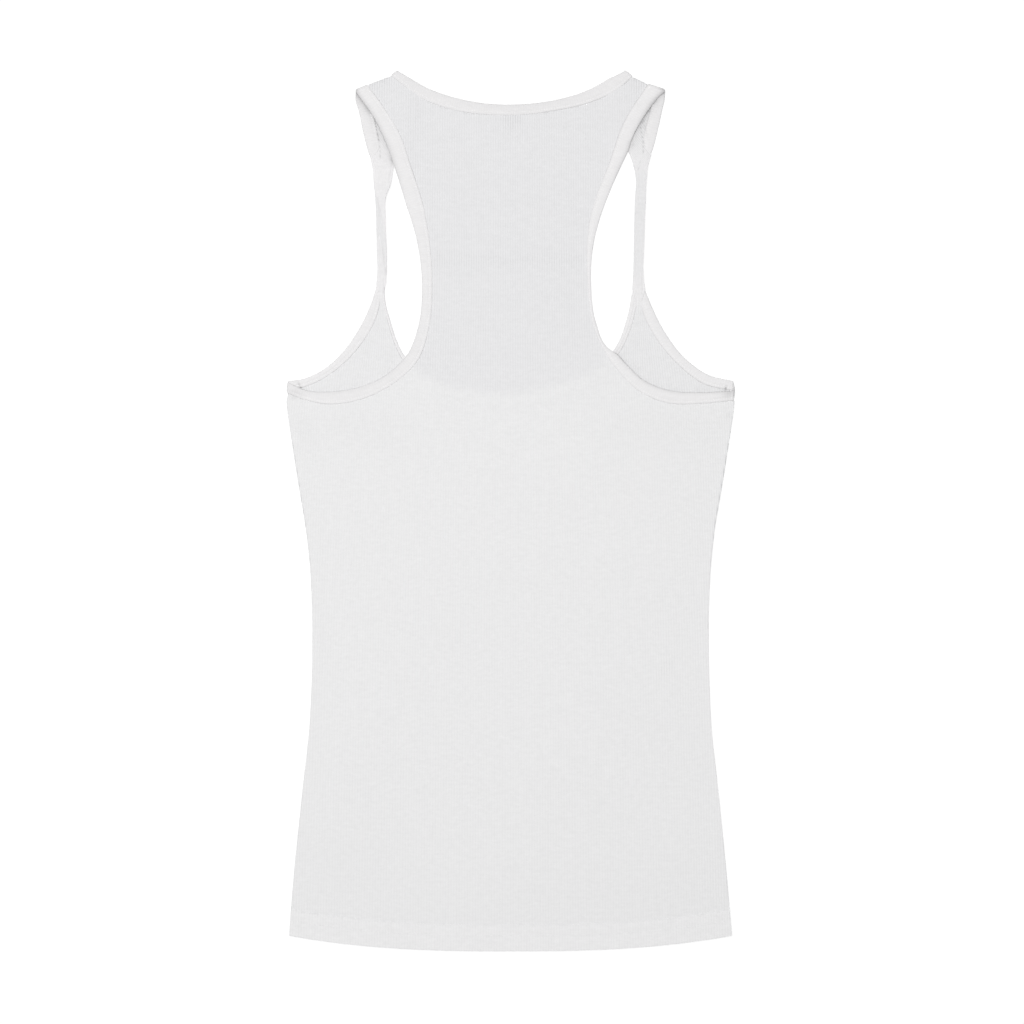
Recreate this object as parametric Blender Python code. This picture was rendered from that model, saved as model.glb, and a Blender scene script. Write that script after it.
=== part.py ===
"""Rib-knit racerback tank top, laid flat with its back upwards.

The garment lies in the XY plane, neck towards +Y, on the plane z = 0. The front panel is the lower
layer and the back panel lies on it. Three folded bindings run round the neck and the two armholes and
turn over at the shoulders and under the arms. All sizes in the tables are in millimetres.
"""

import bmesh
import bpy
import numpy as np
from mathutils import Matrix

MM = 0.001

# Cloth
CLOTH = 1.0  # thickness of the rib knit
HEM_CLOTH = 1.7  # thickness of the turned-up hem
SEAM_GAP = 0.3  # space between pieces that are sewn together or lie on each other
RIB_PITCH = 2.0
RIB_DEPTH = 0.3
RIB_SPREAD = ((-340, 1.05), (-100, 1.02), (70, 0.985), (160, 0.945), (340, 0.935))  # y, factor on the pitch

# Binding tape
TAPE = 1.6  # thickness of the folded tape
TAPE_CORNER = 0.45  # chamfer along its edges
BACK_STEP = 8.0  # distance between points along an edge of the back layer
FRONT_STEP = 6.0  # the same on the front layer
FOLD_SECTIONS = 6  # sections round a fold at the shoulder or under the arm
FOLD_REACH = 14.0  # distance over which a tape turns into line with its fold

# Body
HEM_Y = -340.0  # lowest point of the hem, at the middle
HEM_RISE = 12.0  # how much higher the hem is at the side seams
HEM_POWER = 2.6
HEM_HALF_WIDTH = 170.6
HEM_DEPTH = 19.5
HEM_SLOPE = 1.2  # width of the step above the hem
HEM_COLUMNS = 32
SIDE_ROWS = 22
CUT_ABOVE = 8.0  # reach of the back's outline above and below the floor
SIDE_STEP = 5.0  # distance between points of the side seam's curve
SIDE_TOP = 84.5  # top of the side seam
ARMHOLE_END = 169.6  # where the front's cut edge leaves the armhole for the side seam

# Colours
KNIT = (0.84, 0.84, 0.85)
BINDING = (0.87, 0.86, 0.86)

# Half widths of the body: y, left x, right x
SIDES = (
    (97, -173.1, 173.2),
    (83, -172.9, 172.9),
    (69, -171.2, 171.0),
    (41, -167.0, 166.8),
    (14, -162.7, 162.4),
    (-14, -158.1, 157.7),
    (-42, -154.9, 154.7),
    (-70, -153.5, 153.2),
    (-98, -153.0, 152.8),
    (-139, -153.8, 153.7),
    (-167, -155.3, 155.1),
    (-209, -159.9, 159.6),
    (-264, -165.7, 165.2),
    (-292, -168.3, 167.8),
    (-328, -171.0, 170.8),
)

# Fold of each binding at the shoulder: x and y of its inner end, x and y of its outer end
FOLD_NECK_LEFT = ((-91.5, 335.2), (-86.0, 338.9))
FOLD_NECK_RIGHT = ((93.5, 334.4), (86.9, 339.1))
FOLD_ARMHOLE_LEFT = ((-109.8, 327.9), (-119.6, 323.7))
FOLD_ARMHOLE_RIGHT = ((105.3, 328.6), (119.4, 323.8))

# Back layer of each binding, from the left or from the shoulder: seam x, seam y, width of the tape
NECK_BACK = (
    (-91.5, 335.2, 6.6),
    (-83.7, 328.9, 7.6),
    (-68.9, 318.7, 9.2),
    (-48.5, 310.8, 9.6),
    (-20.7, 306.2, 8.7),
    (7.0, 305.8, 8.3),
    (35.7, 309.2, 8.3),
    (65.0, 316.5, 10.0),
    (84.0, 325.9, 10.8),
    (93.5, 334.4, 8.1),
)
ARMHOLE_BACK_LEFT = (
    (-109.8, 327.9, 10.7),
    (-97.0, 310.4, 11.0),
    (-85.5, 291.0, 12.6),
    (-77.2, 266.8, 12.3),
    (-68.4, 240.0, 12.8),
    (-63.4, 214.8, 10.2),
    (-60.4, 177.0, 8.2),
    (-63.2, 140.0, 8.6),
    (-71.6, 116.0, 9.5),
    (-90.2, 98.3, 8.8),
    (-113.3, 86.6, 9.6),
    (-141.0, 82.3, 9.6),
    (-163.4, 87.0, 7.4),
    (-172.0, 90.4, 8.0),
)
ARMHOLE_BACK_RIGHT = (
    (105.3, 328.6, 14.9),
    (93.4, 311.2, 12.0),
    (83.5, 291.6, 11.4),
    (75.7, 268.0, 9.8),
    (66.9, 245.7, 8.8),
    (60.6, 223.2, 7.4),
    (58.8, 198.0, 4.2),
    (59.4, 176.6, 2.8),
    (63.4, 143.4, 3.1),
    (74.6, 119.0, 3.9),
    (81.8, 109.1, 8.3),
    (98.9, 92.4, 9.2),
    (121.7, 83.0, 10.0),
    (147.5, 82.7, 8.8),
    (172.0, 84.9, 7.6),
)

# Front layer of each binding, from the shoulder: x and y of the outer edge, width of the tape
ARMHOLE_FRONT_LEFT = (
    (-119.6, 323.7, 10.7),
    (-117.3, 308.5, 10.7),
    (-114.2, 293.7, 11.0),
    (-110.4, 278.5, 10.2),
    (-106.6, 265.0, 7.8),
    (-105.5, 251.0, 6.2),
    (-104.5, 242.0, 3.2),
    (-103.8, 225.0, 2.9),
    (-103.3, 200.0, 2.9),
    (-103.2, 178.6, 3.0),
    (-105.2, 168.4, 5.2),
    (-109.6, 155.6, 7.6),
    (-117.0, 140.8, 8.1),
    (-130.0, 122.3, 6.9),
    (-145.8, 108.4, 6.0),
    (-161.5, 101.6, 6.4),
    (-172.0, 100.1, 7.3),
)
ARMHOLE_FRONT_RIGHT = (
    (119.4, 323.8, 14.9),
    (117.3, 310.0, 9.6),
    (114.0, 295.0, 10.1),
    (110.1, 279.5, 8.8),
    (106.2, 266.0, 5.6),
    (105.0, 254.5, 3.3),
    (104.2, 236.0, 2.9),
    (103.1, 205.0, 2.9),
    (102.9, 179.0, 3.0),
    (104.9, 168.8, 5.6),
    (108.7, 159.0, 8.0),
    (118.9, 138.6, 8.6),
    (136.0, 116.7, 7.4),
    (152.0, 105.4, 8.0),
    (172.0, 100.2, 7.4),
)
NECK_FRONT = (
    (-86.0, 338.9, 6.6),
    (-82.4, 330.0, 7.6),
    (-81.6, 316.0, 8.2),
    (-84.0, 292.0, 8.2),
    (-90.3, 265.0, 6.5),
    (-92.6, 251.5, 5.0),
    (-95.9, 243.5, 3.2),
    (-96.5, 225.0, 2.8),
    (-95.7, 200.0, 2.9),
    (-96.0, 177.5, 2.8),
    (-97.1, 166.8, 2.0),
    (-92.6, 146.0, 2.4),
    (-81.6, 119.4, 3.2),
    (-60.0, 101.6, 7.0),
    (-30.0, 93.6, 8.5),
    (0.0, 91.8, 8.5),
    (30.0, 96.6, 8.4),
    (60.0, 107.0, 7.0),
    (80.4, 125.3, 4.8),
    (90.0, 149.4, 5.2),
    (93.3, 166.0, 4.6),
    (94.4, 177.0, 3.0),
    (95.2, 205.0, 2.9),
    (96.0, 240.0, 2.9),
    (96.4, 256.5, 3.3),
    (94.0, 267.5, 4.8),
    (91.5, 278.0, 6.8),
    (86.6, 298.0, 8.4),
    (84.4, 316.0, 8.4),
    (84.8, 330.0, 8.0),
    (86.9, 339.1, 8.1),
)

# Strap cloth, from the shoulder to the point where the front opens out:
# y, whether it lies over the tapes (1) or between them (0), height of its underside
STRAP_LEFT = (
    (321, 0, 0),
    (308, 0, 0),
    (296, 0, 0),
    (283, 0, 0),
    (274, 0, 0),
    (266, 0, 0),
    (259, 0, 0),
    (252, 0, 0),
    (246, 0, 0),
    (235, 0, 0),
    (229, 0, 1.9),
    (222, 1, 1.9),
    (204, 1, 1.9),
    (187, 1, 1.9),
    (182, 0, 1.9),
    (175, 0, 0),
    (167, 0, 0),
)
STRAP_RIGHT = (
    (321, 0, 0),
    (308, 0, 0),
    (296, 0, 0),
    (282, 0, 0),
    (270, 0, 0),
    (265, 0, 0),
    (259, 0, 1.9),
    (255, 1, 1.9),
    (236, 1, 1.9),
    (205, 1, 1.9),
    (187, 1, 1.9),
    (182, 0, 1.9),
    (175, 0, 0),
    (166, 0, 0),
)

# Height of the back layer's underside against the distance from an outer edge of the front layer,
# measured into the cloth: distance, height
LIFT_AT_NECK = ((-20, 0.0), (-13, 0.3), (-6, 1.2), (-2.5, 1.9), (10.5, 1.9), (15, 1.3))
LIFT_AT_ARMHOLE = ((-3, 0.0), (-2, 0.6), (10.5, 0.6), (15, 0.0))
LIFT_TOP = 330.0  # above this y the layers lie as they do at it
LIFT_STEP = 4.0  # distance between points of the edges it is measured from
LIFTED = 0.9  # the back counts as lying on the front's cloth from this height

# Rows of the back panel: y at the middle, how far the row follows the hem's curve, 1 inside the hem
BACK_ROWS = (
    (-346, 1, 1),
    (HEM_Y + HEM_DEPTH, 1, 1),
    (HEM_Y + HEM_DEPTH + HEM_SLOPE, 1, 0),
    (-150, 0.4, 0),
    (66, 0, 0),
    (76, 0, 0),
    (83, 0, 0),
    (91, 0, 0),
    (96, 0, 0),
    (104, 0, 0),
    (113, 0, 0),
    (123, 0, 0),
    (136, 0, 0),
    (160, 0, 0),
    (262, 0, 0),
    (278, 0, 0),
    (294, 0, 0),
    (310, 0, 0),
    (326, 0, 0),
    (345, 0, 0),
)
BACK_HALF_COLUMNS = 180  # columns each side of the middle, two to a rib
INSIDE_COLUMNS = 50  # columns of the plain inside face

# x, y of the ends of the cloth's shoulder edge: next to the armhole, next to the neck
SHOULDER_LEFT = ((-108.9, 329.3), (-96.0, 334.2))
SHOULDER_RIGHT = ((104.6, 329.8), (96.4, 333.8))


def curve(rows, step):
    """Points about one step apart on a smooth curve through the rows, all columns carried along."""
    rows = np.array(rows, float)
    at = np.concatenate([[0], np.cumsum(np.linalg.norm(np.diff(rows[:, :2], axis=0), axis=1))])
    slope = np.gradient(rows, at, axis=0)
    where = np.linspace(0, at[-1], int(np.ceil(at[-1] / step)) + 1)
    i = np.clip(np.searchsorted(at, where) - 1, 0, len(at) - 2)
    length = (at[i + 1] - at[i])[:, None]
    t = ((where - at[i]) / (at[i + 1] - at[i]))[:, None]
    return (
        rows[i] * (1 + 2 * t) * (1 - t) ** 2
        + rows[i + 1] * t**2 * (3 - 2 * t)
        + slope[i] * length * t * (1 - t) ** 2
        - slope[i + 1] * length * t**2 * (1 - t)
    )


def left_normals(points):
    """Unit vectors to the left of the direction of travel."""
    along = np.gradient(points[:, :2], axis=0)
    along /= np.linalg.norm(along, axis=1)[:, None]
    return np.stack([-along[:, 1], along[:, 0]], axis=1)


def outward(path, side, folds):
    """Unit vectors from a tape's seam to its outer edge, turned into line with the fold at either end."""
    out = side * left_normals(path)
    travelled = np.concatenate([[0], np.cumsum(np.linalg.norm(np.diff(path[:, :2], axis=0), axis=1))])
    for ends, gone in zip(folds, (travelled, travelled[-1] - travelled)):
        if ends is not None:
            along = np.subtract(ends[1], ends[0])
            share = np.clip(1 - gone / FOLD_REACH, 0, 1)[:, None]
            out = out * (1 - share) + share * along / np.linalg.norm(along)
    return out / np.linalg.norm(out, axis=1)[:, None]


def distance_to(points, line, inside):
    """Signed distance from a line: positive to the left of its travel (inside 1) or right (inside -1)."""
    start = line[:-1]
    run = np.diff(line, axis=0)
    offset = points[:, None] - start[None]
    t = np.clip((offset * run).sum(2) / (run**2).sum(1), 0, 1)
    away = offset - t[..., None] * run
    length = np.linalg.norm(away, axis=2)
    nearest = length.argmin(axis=1)
    each = np.arange(len(points))
    out = away[each, nearest]
    along = run[nearest]
    turn = along[:, 0] * out[:, 1] - along[:, 1] * out[:, 0]
    return np.where(turn * inside >= 0, 1, -1) * length[each, nearest]


def table(rows, value):
    """The second column of the rows, read at value in the first."""
    rows = np.array(rows, float)
    order = rows[:, 0].argsort()
    return np.interp(value, rows[order, 0], rows[order, 1])


def hem_curve(x):
    return HEM_RISE * np.abs(np.asarray(x, float) / HEM_HALF_WIDTH) ** HEM_POWER


def side_x(y, column):
    """x of the side seam at y; column is 1 on the left and 2 on the right."""
    side = curve(SIDES, SIDE_STEP)[::-1]
    return np.interp(y, side[:, 0], side[:, column])


def lift(points):
    """Height of the back layer's underside over the floor, the front's cloth and its bindings."""
    points = np.minimum(points, (np.inf, LIFT_TOP))
    neck = curve(NECK_FRONT, LIFT_STEP)[:, :2]
    height = table(LIFT_AT_NECK, distance_to(points, neck, -1))
    for rows, inside in ((ARMHOLE_FRONT_LEFT, 1), (ARMHOLE_FRONT_RIGHT, -1)):
        armhole = curve(rows, LIFT_STEP)[:, :2]
        over = CLOTH + SEAM_GAP + table(LIFT_AT_ARMHOLE, distance_to(points, armhole, inside))
        height = np.maximum(height, np.where(height > LIFTED, over, 0))
    return height


def finish(name, mesh, colour):
    """Turns a bmesh into a named object, with its faces outwards and a knit material of its own."""
    bmesh.ops.recalc_face_normals(mesh, faces=mesh.faces)
    data = bpy.data.meshes.new(name)
    mesh.to_mesh(data)
    mesh.free()
    data.transform(Matrix.Scale(MM, 4))
    part = bpy.data.objects.new(name, data)
    bpy.context.scene.collection.objects.link(part)
    material = bpy.data.materials.new(name)
    material.use_nodes = True
    shader = material.node_tree.nodes["Principled BSDF"]
    shader.inputs["Base Color"].default_value = (*colour, 1)
    shader.inputs["Roughness"].default_value = 0.9
    shader.inputs["Metallic"].default_value = 0
    data.materials.append(material)
    return part


def back_run(rows, side, folds):
    """A tape on the upper layer, outside its seam: centres, directions to its outer edge, half widths."""
    path = curve(rows, BACK_STEP)
    out = outward(path, side, folds)
    width = path[:, 2:3]
    centre = path[:, :2] + out * (SEAM_GAP + width) / 2
    samples = [lift(centre + out * width * part) for part in (-0.5, 0, 0.5)]
    height = np.max(samples, axis=0) + TAPE / 2
    return np.column_stack([centre, height]), out, (width[:, 0] - SEAM_GAP) / 2


def front_edges(rows, side, folds):
    """The outer edge of a tape on the lower layer, its directions to that edge, and its widths."""
    path = curve(rows, FRONT_STEP)
    return path[:, :2], outward(path, -side, folds), path[:, 2]


def front_run(rows, side, folds):
    """A tape on the lower layer, inside its outer edge: centres, directions to that edge, half widths."""
    edge, out, width = front_edges(rows, side, folds)
    centre = edge - out * width[:, None] / 2
    return np.column_stack([centre, np.full(len(centre), TAPE / 2)]), out, width / 2


def backwards(run):
    return tuple(column[::-1] for column in run)


def fold(before, after, up):
    """Half a turn of tape between two runs; up is 1 when the run before it is the upper one."""
    (start, start_out, start_half), (end, end_out, end_half) = (
        tuple(column[-1] for column in before),
        tuple(column[0] for column in after),
    )
    heading = before[0][-1][:2] - before[0][-2][:2]
    rows = []
    for angle in np.linspace(0, np.pi, FOLD_SECTIONS + 2)[1:-1]:
        part = angle / np.pi
        out = start_out * (1 - part) + end_out * part
        out /= np.linalg.norm(out)
        over = np.array([-out[1], out[0]])
        over *= np.sign(over @ heading)
        centre = start * (1 - part) + end * part
        middle, radius = (start[2] + end[2]) / 2, (start[2] - end[2]) / 2
        centre[:2] += over * abs(radius) * np.sin(angle)
        centre[2] = middle + radius * np.cos(angle)
        face = np.array([*over * np.sin(angle), up * np.cos(angle)])
        rows.append((centre, out, start_half * (1 - part) + end_half * part, face))
    return rows


def sections(run, up):
    face = np.array([0, 0, up])
    return [(centre, out, half, face) for centre, out, half in zip(*run)]


def binding(name, back, front):
    """A closed loop of tape: along the back, over a fold, along the front and over a second fold."""
    front = backwards(front)
    loop = sections(back, 1) + fold(back, front, 1) + sections(front, -1) + fold(front, back, -1)
    mesh = bmesh.new()
    rings = []
    flat, deep = TAPE / 2, TAPE / 2 - TAPE_CORNER
    for centre, out, half, face in loop:
        out = np.array([*out, 0])
        corners = (
            (half - TAPE_CORNER, flat),
            (half, deep),
            (half, -deep),
            (half - TAPE_CORNER, -flat),
            (TAPE_CORNER - half, -flat),
            (-half, -deep),
            (-half, deep),
            (TAPE_CORNER - half, flat),
        )
        rings.append([mesh.verts.new(centre + a * out + b * face) for a, b in corners])
    for ring, following in zip(rings, rings[1:] + rings[:1]):
        for i in range(len(ring)):
            j = (i + 1) % len(ring)
            mesh.faces.new((ring[i], ring[j], following[j], following[i]))
    return finish(name, mesh, BINDING)


class Wall:
    """A sheet of cloth: points with an underside height and a thickness, and faces between them."""

    def __init__(self):
        self.points = []
        self.faces = []

    def add(self, points, under=0.0, thick=CLOTH):
        """Adds points (x, y, and their underside where they have one) and returns their numbers."""
        first = len(self.points)
        for point in points:
            self.points.append((*point, under, thick) if len(point) == 2 else (*point, thick))
        return list(range(first, len(self.points)))

    def ladder(self, rows):
        """Faces between rows of as many points each, from the lowest row to the highest."""
        for low, high in zip(rows, rows[1:]):
            for i in range(len(low) - 1):
                self.faces.append((low[i], low[i + 1], high[i + 1], high[i]))

    def mesh(self):
        """The closed wall: the faces above, the same ones below, and a rim along each open edge."""
        mesh = bmesh.new()
        below = [mesh.verts.new(point[:3]) for point in self.points]
        above = [mesh.verts.new((x, y, under + thick)) for x, y, under, thick in self.points]
        uses = {}
        for face in self.faces:
            mesh.faces.new([above[i] for i in face])
            mesh.faces.new([below[i] for i in reversed(face)])
            for i, j in zip(face, face[1:] + face[:1]):
                uses.setdefault(frozenset((i, j)), []).append((i, j))
        for ends in uses.values():
            if len(ends) == 1:
                i, j = ends[0]
                mesh.faces.new((above[i], below[i], below[j], above[j]))
        return mesh


def strap_rows(rows, armhole, neck):
    """The two ends of each row of a strap's cloth, from left to right, with the underside's height."""
    out = []
    for y, over, under in rows:
        lines = [edge if over else seam for edge, seam in (armhole, neck)]
        ends = sorted(np.interp(y, line[::-1, 1], line[::-1, 0]) for line in lines)
        out.append([(x, y, under) for x in ends])
    return out


def side_points(low, high, column):
    """Points up a side seam."""
    y = np.linspace(low, high, SIDE_ROWS)
    return np.stack([side_x(y, column), y], axis=1)


def hem_row(above):
    """Points across the body, the given distance above the hem's edge."""
    across = np.linspace(-1, 1, HEM_COLUMNS + 1)
    y = HEM_Y + above + hem_curve(across * HEM_HALF_WIDTH)
    x = np.interp(across, (-1, 1), (side_x(y[0], 1), side_x(y[-1], 2)))
    return np.stack([x, y], axis=1)


def make_front():
    """The front: a flat body, a thicker hem, and two straps whose cloth passes over their own tapes."""
    wall = Wall()

    def cut_edges(rows, side, folds):
        edge, out, width = front_edges(rows, side, folds)
        return edge, edge - out * (width[:, None] + SEAM_GAP)

    neck = cut_edges(NECK_FRONT, -1, (FOLD_NECK_LEFT, FOLD_NECK_RIGHT))
    lowest = neck[0][:, 1].argmin()
    tables = (
        (ARMHOLE_FRONT_LEFT, 1, FOLD_ARMHOLE_LEFT, STRAP_LEFT, SHOULDER_LEFT, slice(0, lowest)),
        (ARMHOLE_FRONT_RIGHT, -1, FOLD_ARMHOLE_RIGHT, STRAP_RIGHT, SHOULDER_RIGHT, slice(None, lowest, -1)),
    )
    sides = []
    for rows, side, fold_ends, strap, shoulder, half in tables:
        armhole = cut_edges(rows, side, (fold_ends, None))
        near = [line[half] for line in neck]
        ends = [wall.add(row) for row in strap_rows(strap, armhole, near)]
        wall.ladder([*ends[::-1], wall.add(sorted(shoulder))])
        below = strap[-1][0] - FRONT_STEP / 2
        seams = [line[line[:, 1] < below] for line in (armhole[1], near[1])]
        away = np.abs(seams[0][:, 0])
        last = (-side * ARMHOLE_END, np.interp(ARMHOLE_END, away, seams[0][:, 1]))
        seams[0] = np.vstack([seams[0][away < ARMHOLE_END - 1], last])
        sides.append((ends[-1], *seams))
    (left, left_armhole, left_neck), (right, right_armhole, right_neck) = sides
    hem = [wall.add(hem_row(above), 0, HEM_CLOTH) for above in (0, HEM_DEPTH)]
    body_edge = hem_row(HEM_DEPTH + HEM_SLOPE)
    hem.append(wall.add(body_edge))
    wall.ladder(hem)
    outline = (
        hem[2]
        + wall.add(side_points(body_edge[-1, 1], SIDE_TOP, 2)[1:])
        + wall.add(right_armhole[::-1])
        + right[::-1]
        + wall.add(right_neck)
        + wall.add(left_neck[::-1])
        + left[::-1]
        + wall.add(left_armhole)
        + wall.add(side_points(body_edge[0, 1], SIDE_TOP, 1)[:0:-1])
    )
    wall.faces.append(tuple(outline))
    return finish("front_panel", wall.mesh(), KNIT)


def make_back():
    """The back: a ribbed sheet laid over the front, cut to its outline."""
    sheet = bmesh.new()
    u = np.arange(-BACK_HALF_COLUMNS, BACK_HALF_COLUMNS + 1) * RIB_PITCH / 2
    crest = np.where(np.arange(len(u)) % 2 == 0, RIB_DEPTH, 0.0)
    inside = np.linspace(u[0], u[-1], INSIDE_COLUMNS + 1)
    top, bottom = [], []
    for y, follow, hem in BACK_ROWS:
        for columns, rib, rows in ((u, crest, top), (inside, None, bottom)):
            x = columns * np.interp(y, *np.array(RIB_SPREAD).T)
            place = np.stack([x, y + follow * hem_curve(x)], axis=1)
            height = lift(place) + hem * (HEM_CLOTH - CLOTH)
            if rib is not None:
                height += rib + (HEM_CLOTH if hem else CLOTH)
            rows.append([sheet.verts.new(point) for point in np.column_stack([place, height])])
    for rows in (top, bottom):
        for low, high in zip(rows, rows[1:]):
            for i in range(len(low) - 1):
                sheet.faces.new((low[i], low[i + 1], high[i + 1], high[i]))
    ends = [[rows[k][-side] for k in range(len(rows))] for rows in (top, bottom) for side in (0, 1)]
    for left_right in (0, 1):
        above, under = ends[left_right], ends[2 + left_right]
        for k in range(len(above) - 1):
            sheet.faces.new((above[k], above[k + 1], under[k + 1], under[k]))
    for row in (0, -1):
        sheet.faces.new(top[row] + bottom[row][::-1])
    panel = finish("back_panel", sheet, KNIT)

    outline = np.concatenate(
        [
            hem_row(0),
            side_points(hem_row(0)[-1, 1], SIDE_TOP, 2)[1:],
            curve(ARMHOLE_BACK_RIGHT, BACK_STEP)[::-1, :2],
            SHOULDER_RIGHT,
            curve(NECK_BACK, BACK_STEP)[::-1, :2],
            SHOULDER_LEFT[::-1],
            curve(ARMHOLE_BACK_LEFT, BACK_STEP)[:, :2],
            side_points(hem_row(0)[0, 1], SIDE_TOP, 1)[:0:-1],
        ]
    )
    cutter = bmesh.new()
    rings = [[cutter.verts.new((x, y, z)) for x, y in outline] for z in (-CUT_ABOVE, CUT_ABOVE)]
    for i in range(len(outline)):
        j = (i + 1) % len(outline)
        cutter.faces.new((rings[0][i], rings[0][j], rings[1][j], rings[1][i]))
    for ring in rings:
        cutter.faces.new(ring)
    shape = finish("back_outline", cutter, KNIT)
    shape.hide_render = True
    shape.display_type = "WIRE"
    cut = panel.modifiers.new("outline", "BOOLEAN")
    cut.operation = "INTERSECT"
    cut.object = shape
    return panel


def main():
    for old in list(bpy.data.objects):
        bpy.data.objects.remove(old)
    make_front()
    make_back()
    neck_folds = FOLD_NECK_LEFT, FOLD_NECK_RIGHT
    binding(
        "neck_binding",
        back_run(NECK_BACK, 1, neck_folds),
        front_run(NECK_FRONT, -1, neck_folds),
    )
    armholes = (
        ("left", -1, ARMHOLE_BACK_LEFT, ARMHOLE_FRONT_LEFT, FOLD_ARMHOLE_LEFT),
        ("right", 1, ARMHOLE_BACK_RIGHT, ARMHOLE_FRONT_RIGHT, FOLD_ARMHOLE_RIGHT),
    )
    for name, side, back, front, ends in armholes:
        folds = ends, None
        binding("armhole_binding_" + name, back_run(back, side, folds), front_run(front, -side, folds))


main()
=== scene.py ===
"""Looks of the rib-knit racerback tank top, laid flat with its back upwards.

Sizes are in millimetres until a mesh is made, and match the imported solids: neck towards +Y,
underside on z = 0, the front panel below, the back panel on it, and three folded tapes round the
neck and the armholes.
"""

import bpy
import numpy as np
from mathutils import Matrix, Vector


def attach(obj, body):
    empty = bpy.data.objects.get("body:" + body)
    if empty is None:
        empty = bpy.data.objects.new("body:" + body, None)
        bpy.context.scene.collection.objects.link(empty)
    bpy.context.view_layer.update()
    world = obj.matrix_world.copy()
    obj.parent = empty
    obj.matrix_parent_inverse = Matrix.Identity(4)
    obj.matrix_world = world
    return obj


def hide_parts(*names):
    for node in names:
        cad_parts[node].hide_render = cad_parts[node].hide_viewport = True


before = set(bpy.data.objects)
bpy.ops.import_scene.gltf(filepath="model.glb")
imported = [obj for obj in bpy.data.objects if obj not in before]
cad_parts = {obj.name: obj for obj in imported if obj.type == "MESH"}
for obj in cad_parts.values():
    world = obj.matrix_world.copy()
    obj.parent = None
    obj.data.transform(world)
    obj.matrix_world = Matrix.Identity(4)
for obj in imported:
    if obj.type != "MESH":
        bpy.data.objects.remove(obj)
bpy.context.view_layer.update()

MM = 0.001
TURN = 2 * np.pi
UPWARDS = (0.0, 0.0, 1.0)
WHITE = (1, 1, 1, 1)

# Cloth
CLOTH = 1.0  # thickness of the rib knit
HEM_CLOTH = 1.4  # thickness of the turned-up hem
SEAM_GAP = 0.1  # space between pieces that are sewn together
LAYER_GAP = 0.2  # and between layers that lie on each other
RIB_PITCH = 2.0
RIB_DEPTH = 0.17
# y, factor on the pitch
RIB_SPREAD = ((-340, 1.05), (-100, 1.02), (70, 0.985), (160, 0.945), (340, 0.935))
RIB_ACROSS = (0.0, 0.32, 0.68)  # the grid's columns across a rib: the groove and both shoulders
RIB_HEIGHT = (0.0, 1.0, 1.0)  # height of the rib at these places
HALF_RIBS = 93  # ribs each side of the middle
LOOP_PITCH = 1.5  # length of one knitted loop along a rib
EDGE_ROLL = 0.5  # width over which a free edge rolls down
SHOULDER_ROLL = 3.0
SEAM_ROLL = 1.6  # width over which the cloth comes up again beside a tape
EDGE_THICK = 0.98  # share of its thickness that the cloth keeps at a free edge
SEAM_THICK = 1.0  # and beside a tape
TURNINGS_THICK = 1.55  # and the front at the shoulder, where the seam's turnings fill the gap
ON_EDGE = 0.01  # grid points nearer than this to the outline count as just inside it
BLOCK = 2000  # points whose distances are worked out at a time

# Body
HEM_Y = -340.0  # lowest point of the hem, at the middle
HEM_RISE = 12.0  # how much higher the hem is at the side seams
HEM_POWER = 2.6
HEM_HALF_WIDTH = 170.6
HEM_DEPTH = 19.5
HEM_SLOPE = 1.6  # width of the step above the hem
HEM_POINTS = 65
HEM_FADE_Y = 60  # from this y up the grid's rows are level
SEAM_ROWS = (12.0, 20.2)  # heights of the hem's seams above its edge
SEAM_PULL = (0.05, 0.2)  # how far their stitches pull the cloth in
SEAM_WIDTH = 0.75
HEM_STITCHES = (-166, 166, 2.1)  # x of the first, of the last, and their distance
SIDE_POINTS = 60
SIDE_TOP = 84.5  # top of the side seam
SIDE_STEP = 5.0
ARMHOLE_END = 169.6  # where the front's cut edge leaves the armhole for the side seam

# Rows of the grids: heights above the hem's edge, and further up y of the first, end and distance
HEM_ROWS = (-1.2, 0.25, 0.8, 1.7, 4.5, 8, 11, 12, 13, 16, 18.4, 19.3, 20.2, 21.1, 22.4, 25)
FRONT_ROWS = ((-300, 60, 16), (60, 255, 3), (255, 342, 0.65))
BACK_ROWS = (
    (-305, -130, 10), (-131, -110, 3), (-105, 60, 10), (60, 132, 3.5), (132, 190, 4.5),
    (190.8, 194.4, 0.8), (197, 318, 4.5), (318, 342, 1.5),
)

# Tape
TAPE = 1.6  # thickness of the folded tape
TAPE_STEP = 0.65  # distance between its sections, a third of a cross rib
RIB_SECTIONS = 3
TAPE_RIB = 0.06  # height of the cross ribs
TAPE_RIB_FALL = 4  # power by which they die out towards the edges
TAPE_CROWN = 0.28  # how much thicker the tape is along its middle
TAPE_ROLL = 3.2  # width over which the upper side of its outer edge rolls down
TAPE_FOOT = 1.0  # and the lower side rolls up
ROLL_MOST = 0.7  # the most of the half width that a roll takes
ROLL_AT = (0.36, 0.22, 0.08)  # corners of the roll, in half turns
CROWN_START = 3.0  # distance of the crown from the seam edge
CROWN_AT = (0, 0.33, 0.67, 1)  # corners of the crown
CROWN_ARC = (0.12, 0.7)  # start and length of its arc, in half turns
HEIGHT_REACH = 5  # sections over which a back tape's height is evened out
STRAP_COVER = 0.4  # how far the strap's cloth reaches out over the tapes that it covers
TUCK = 1.2  # how far the cloth's cut edge reaches in under a full tape
FULL_HALF = 3.2  # half width from which a tape is full
FOLD_REACH = 14.0  # distance over which a tape turns into line with its fold
FOLD_SECTIONS = 12  # sections round a fold at the shoulder or under the arm
FOLD_NARROW = 0.1  # how much narrower the tape is drawn where it turns over
STITCH_LINE = 2.1  # distance of the stitches from the tape's seam edge
STITCH = (0.68, 0.32, 0.3)  # half length, half width and half height of a stitch
STITCH_SIDES = 6
STITCH_RINGS = ((-0.55, 0.83), (0.55, 0.83))  # place and radius, in shares of these
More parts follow.
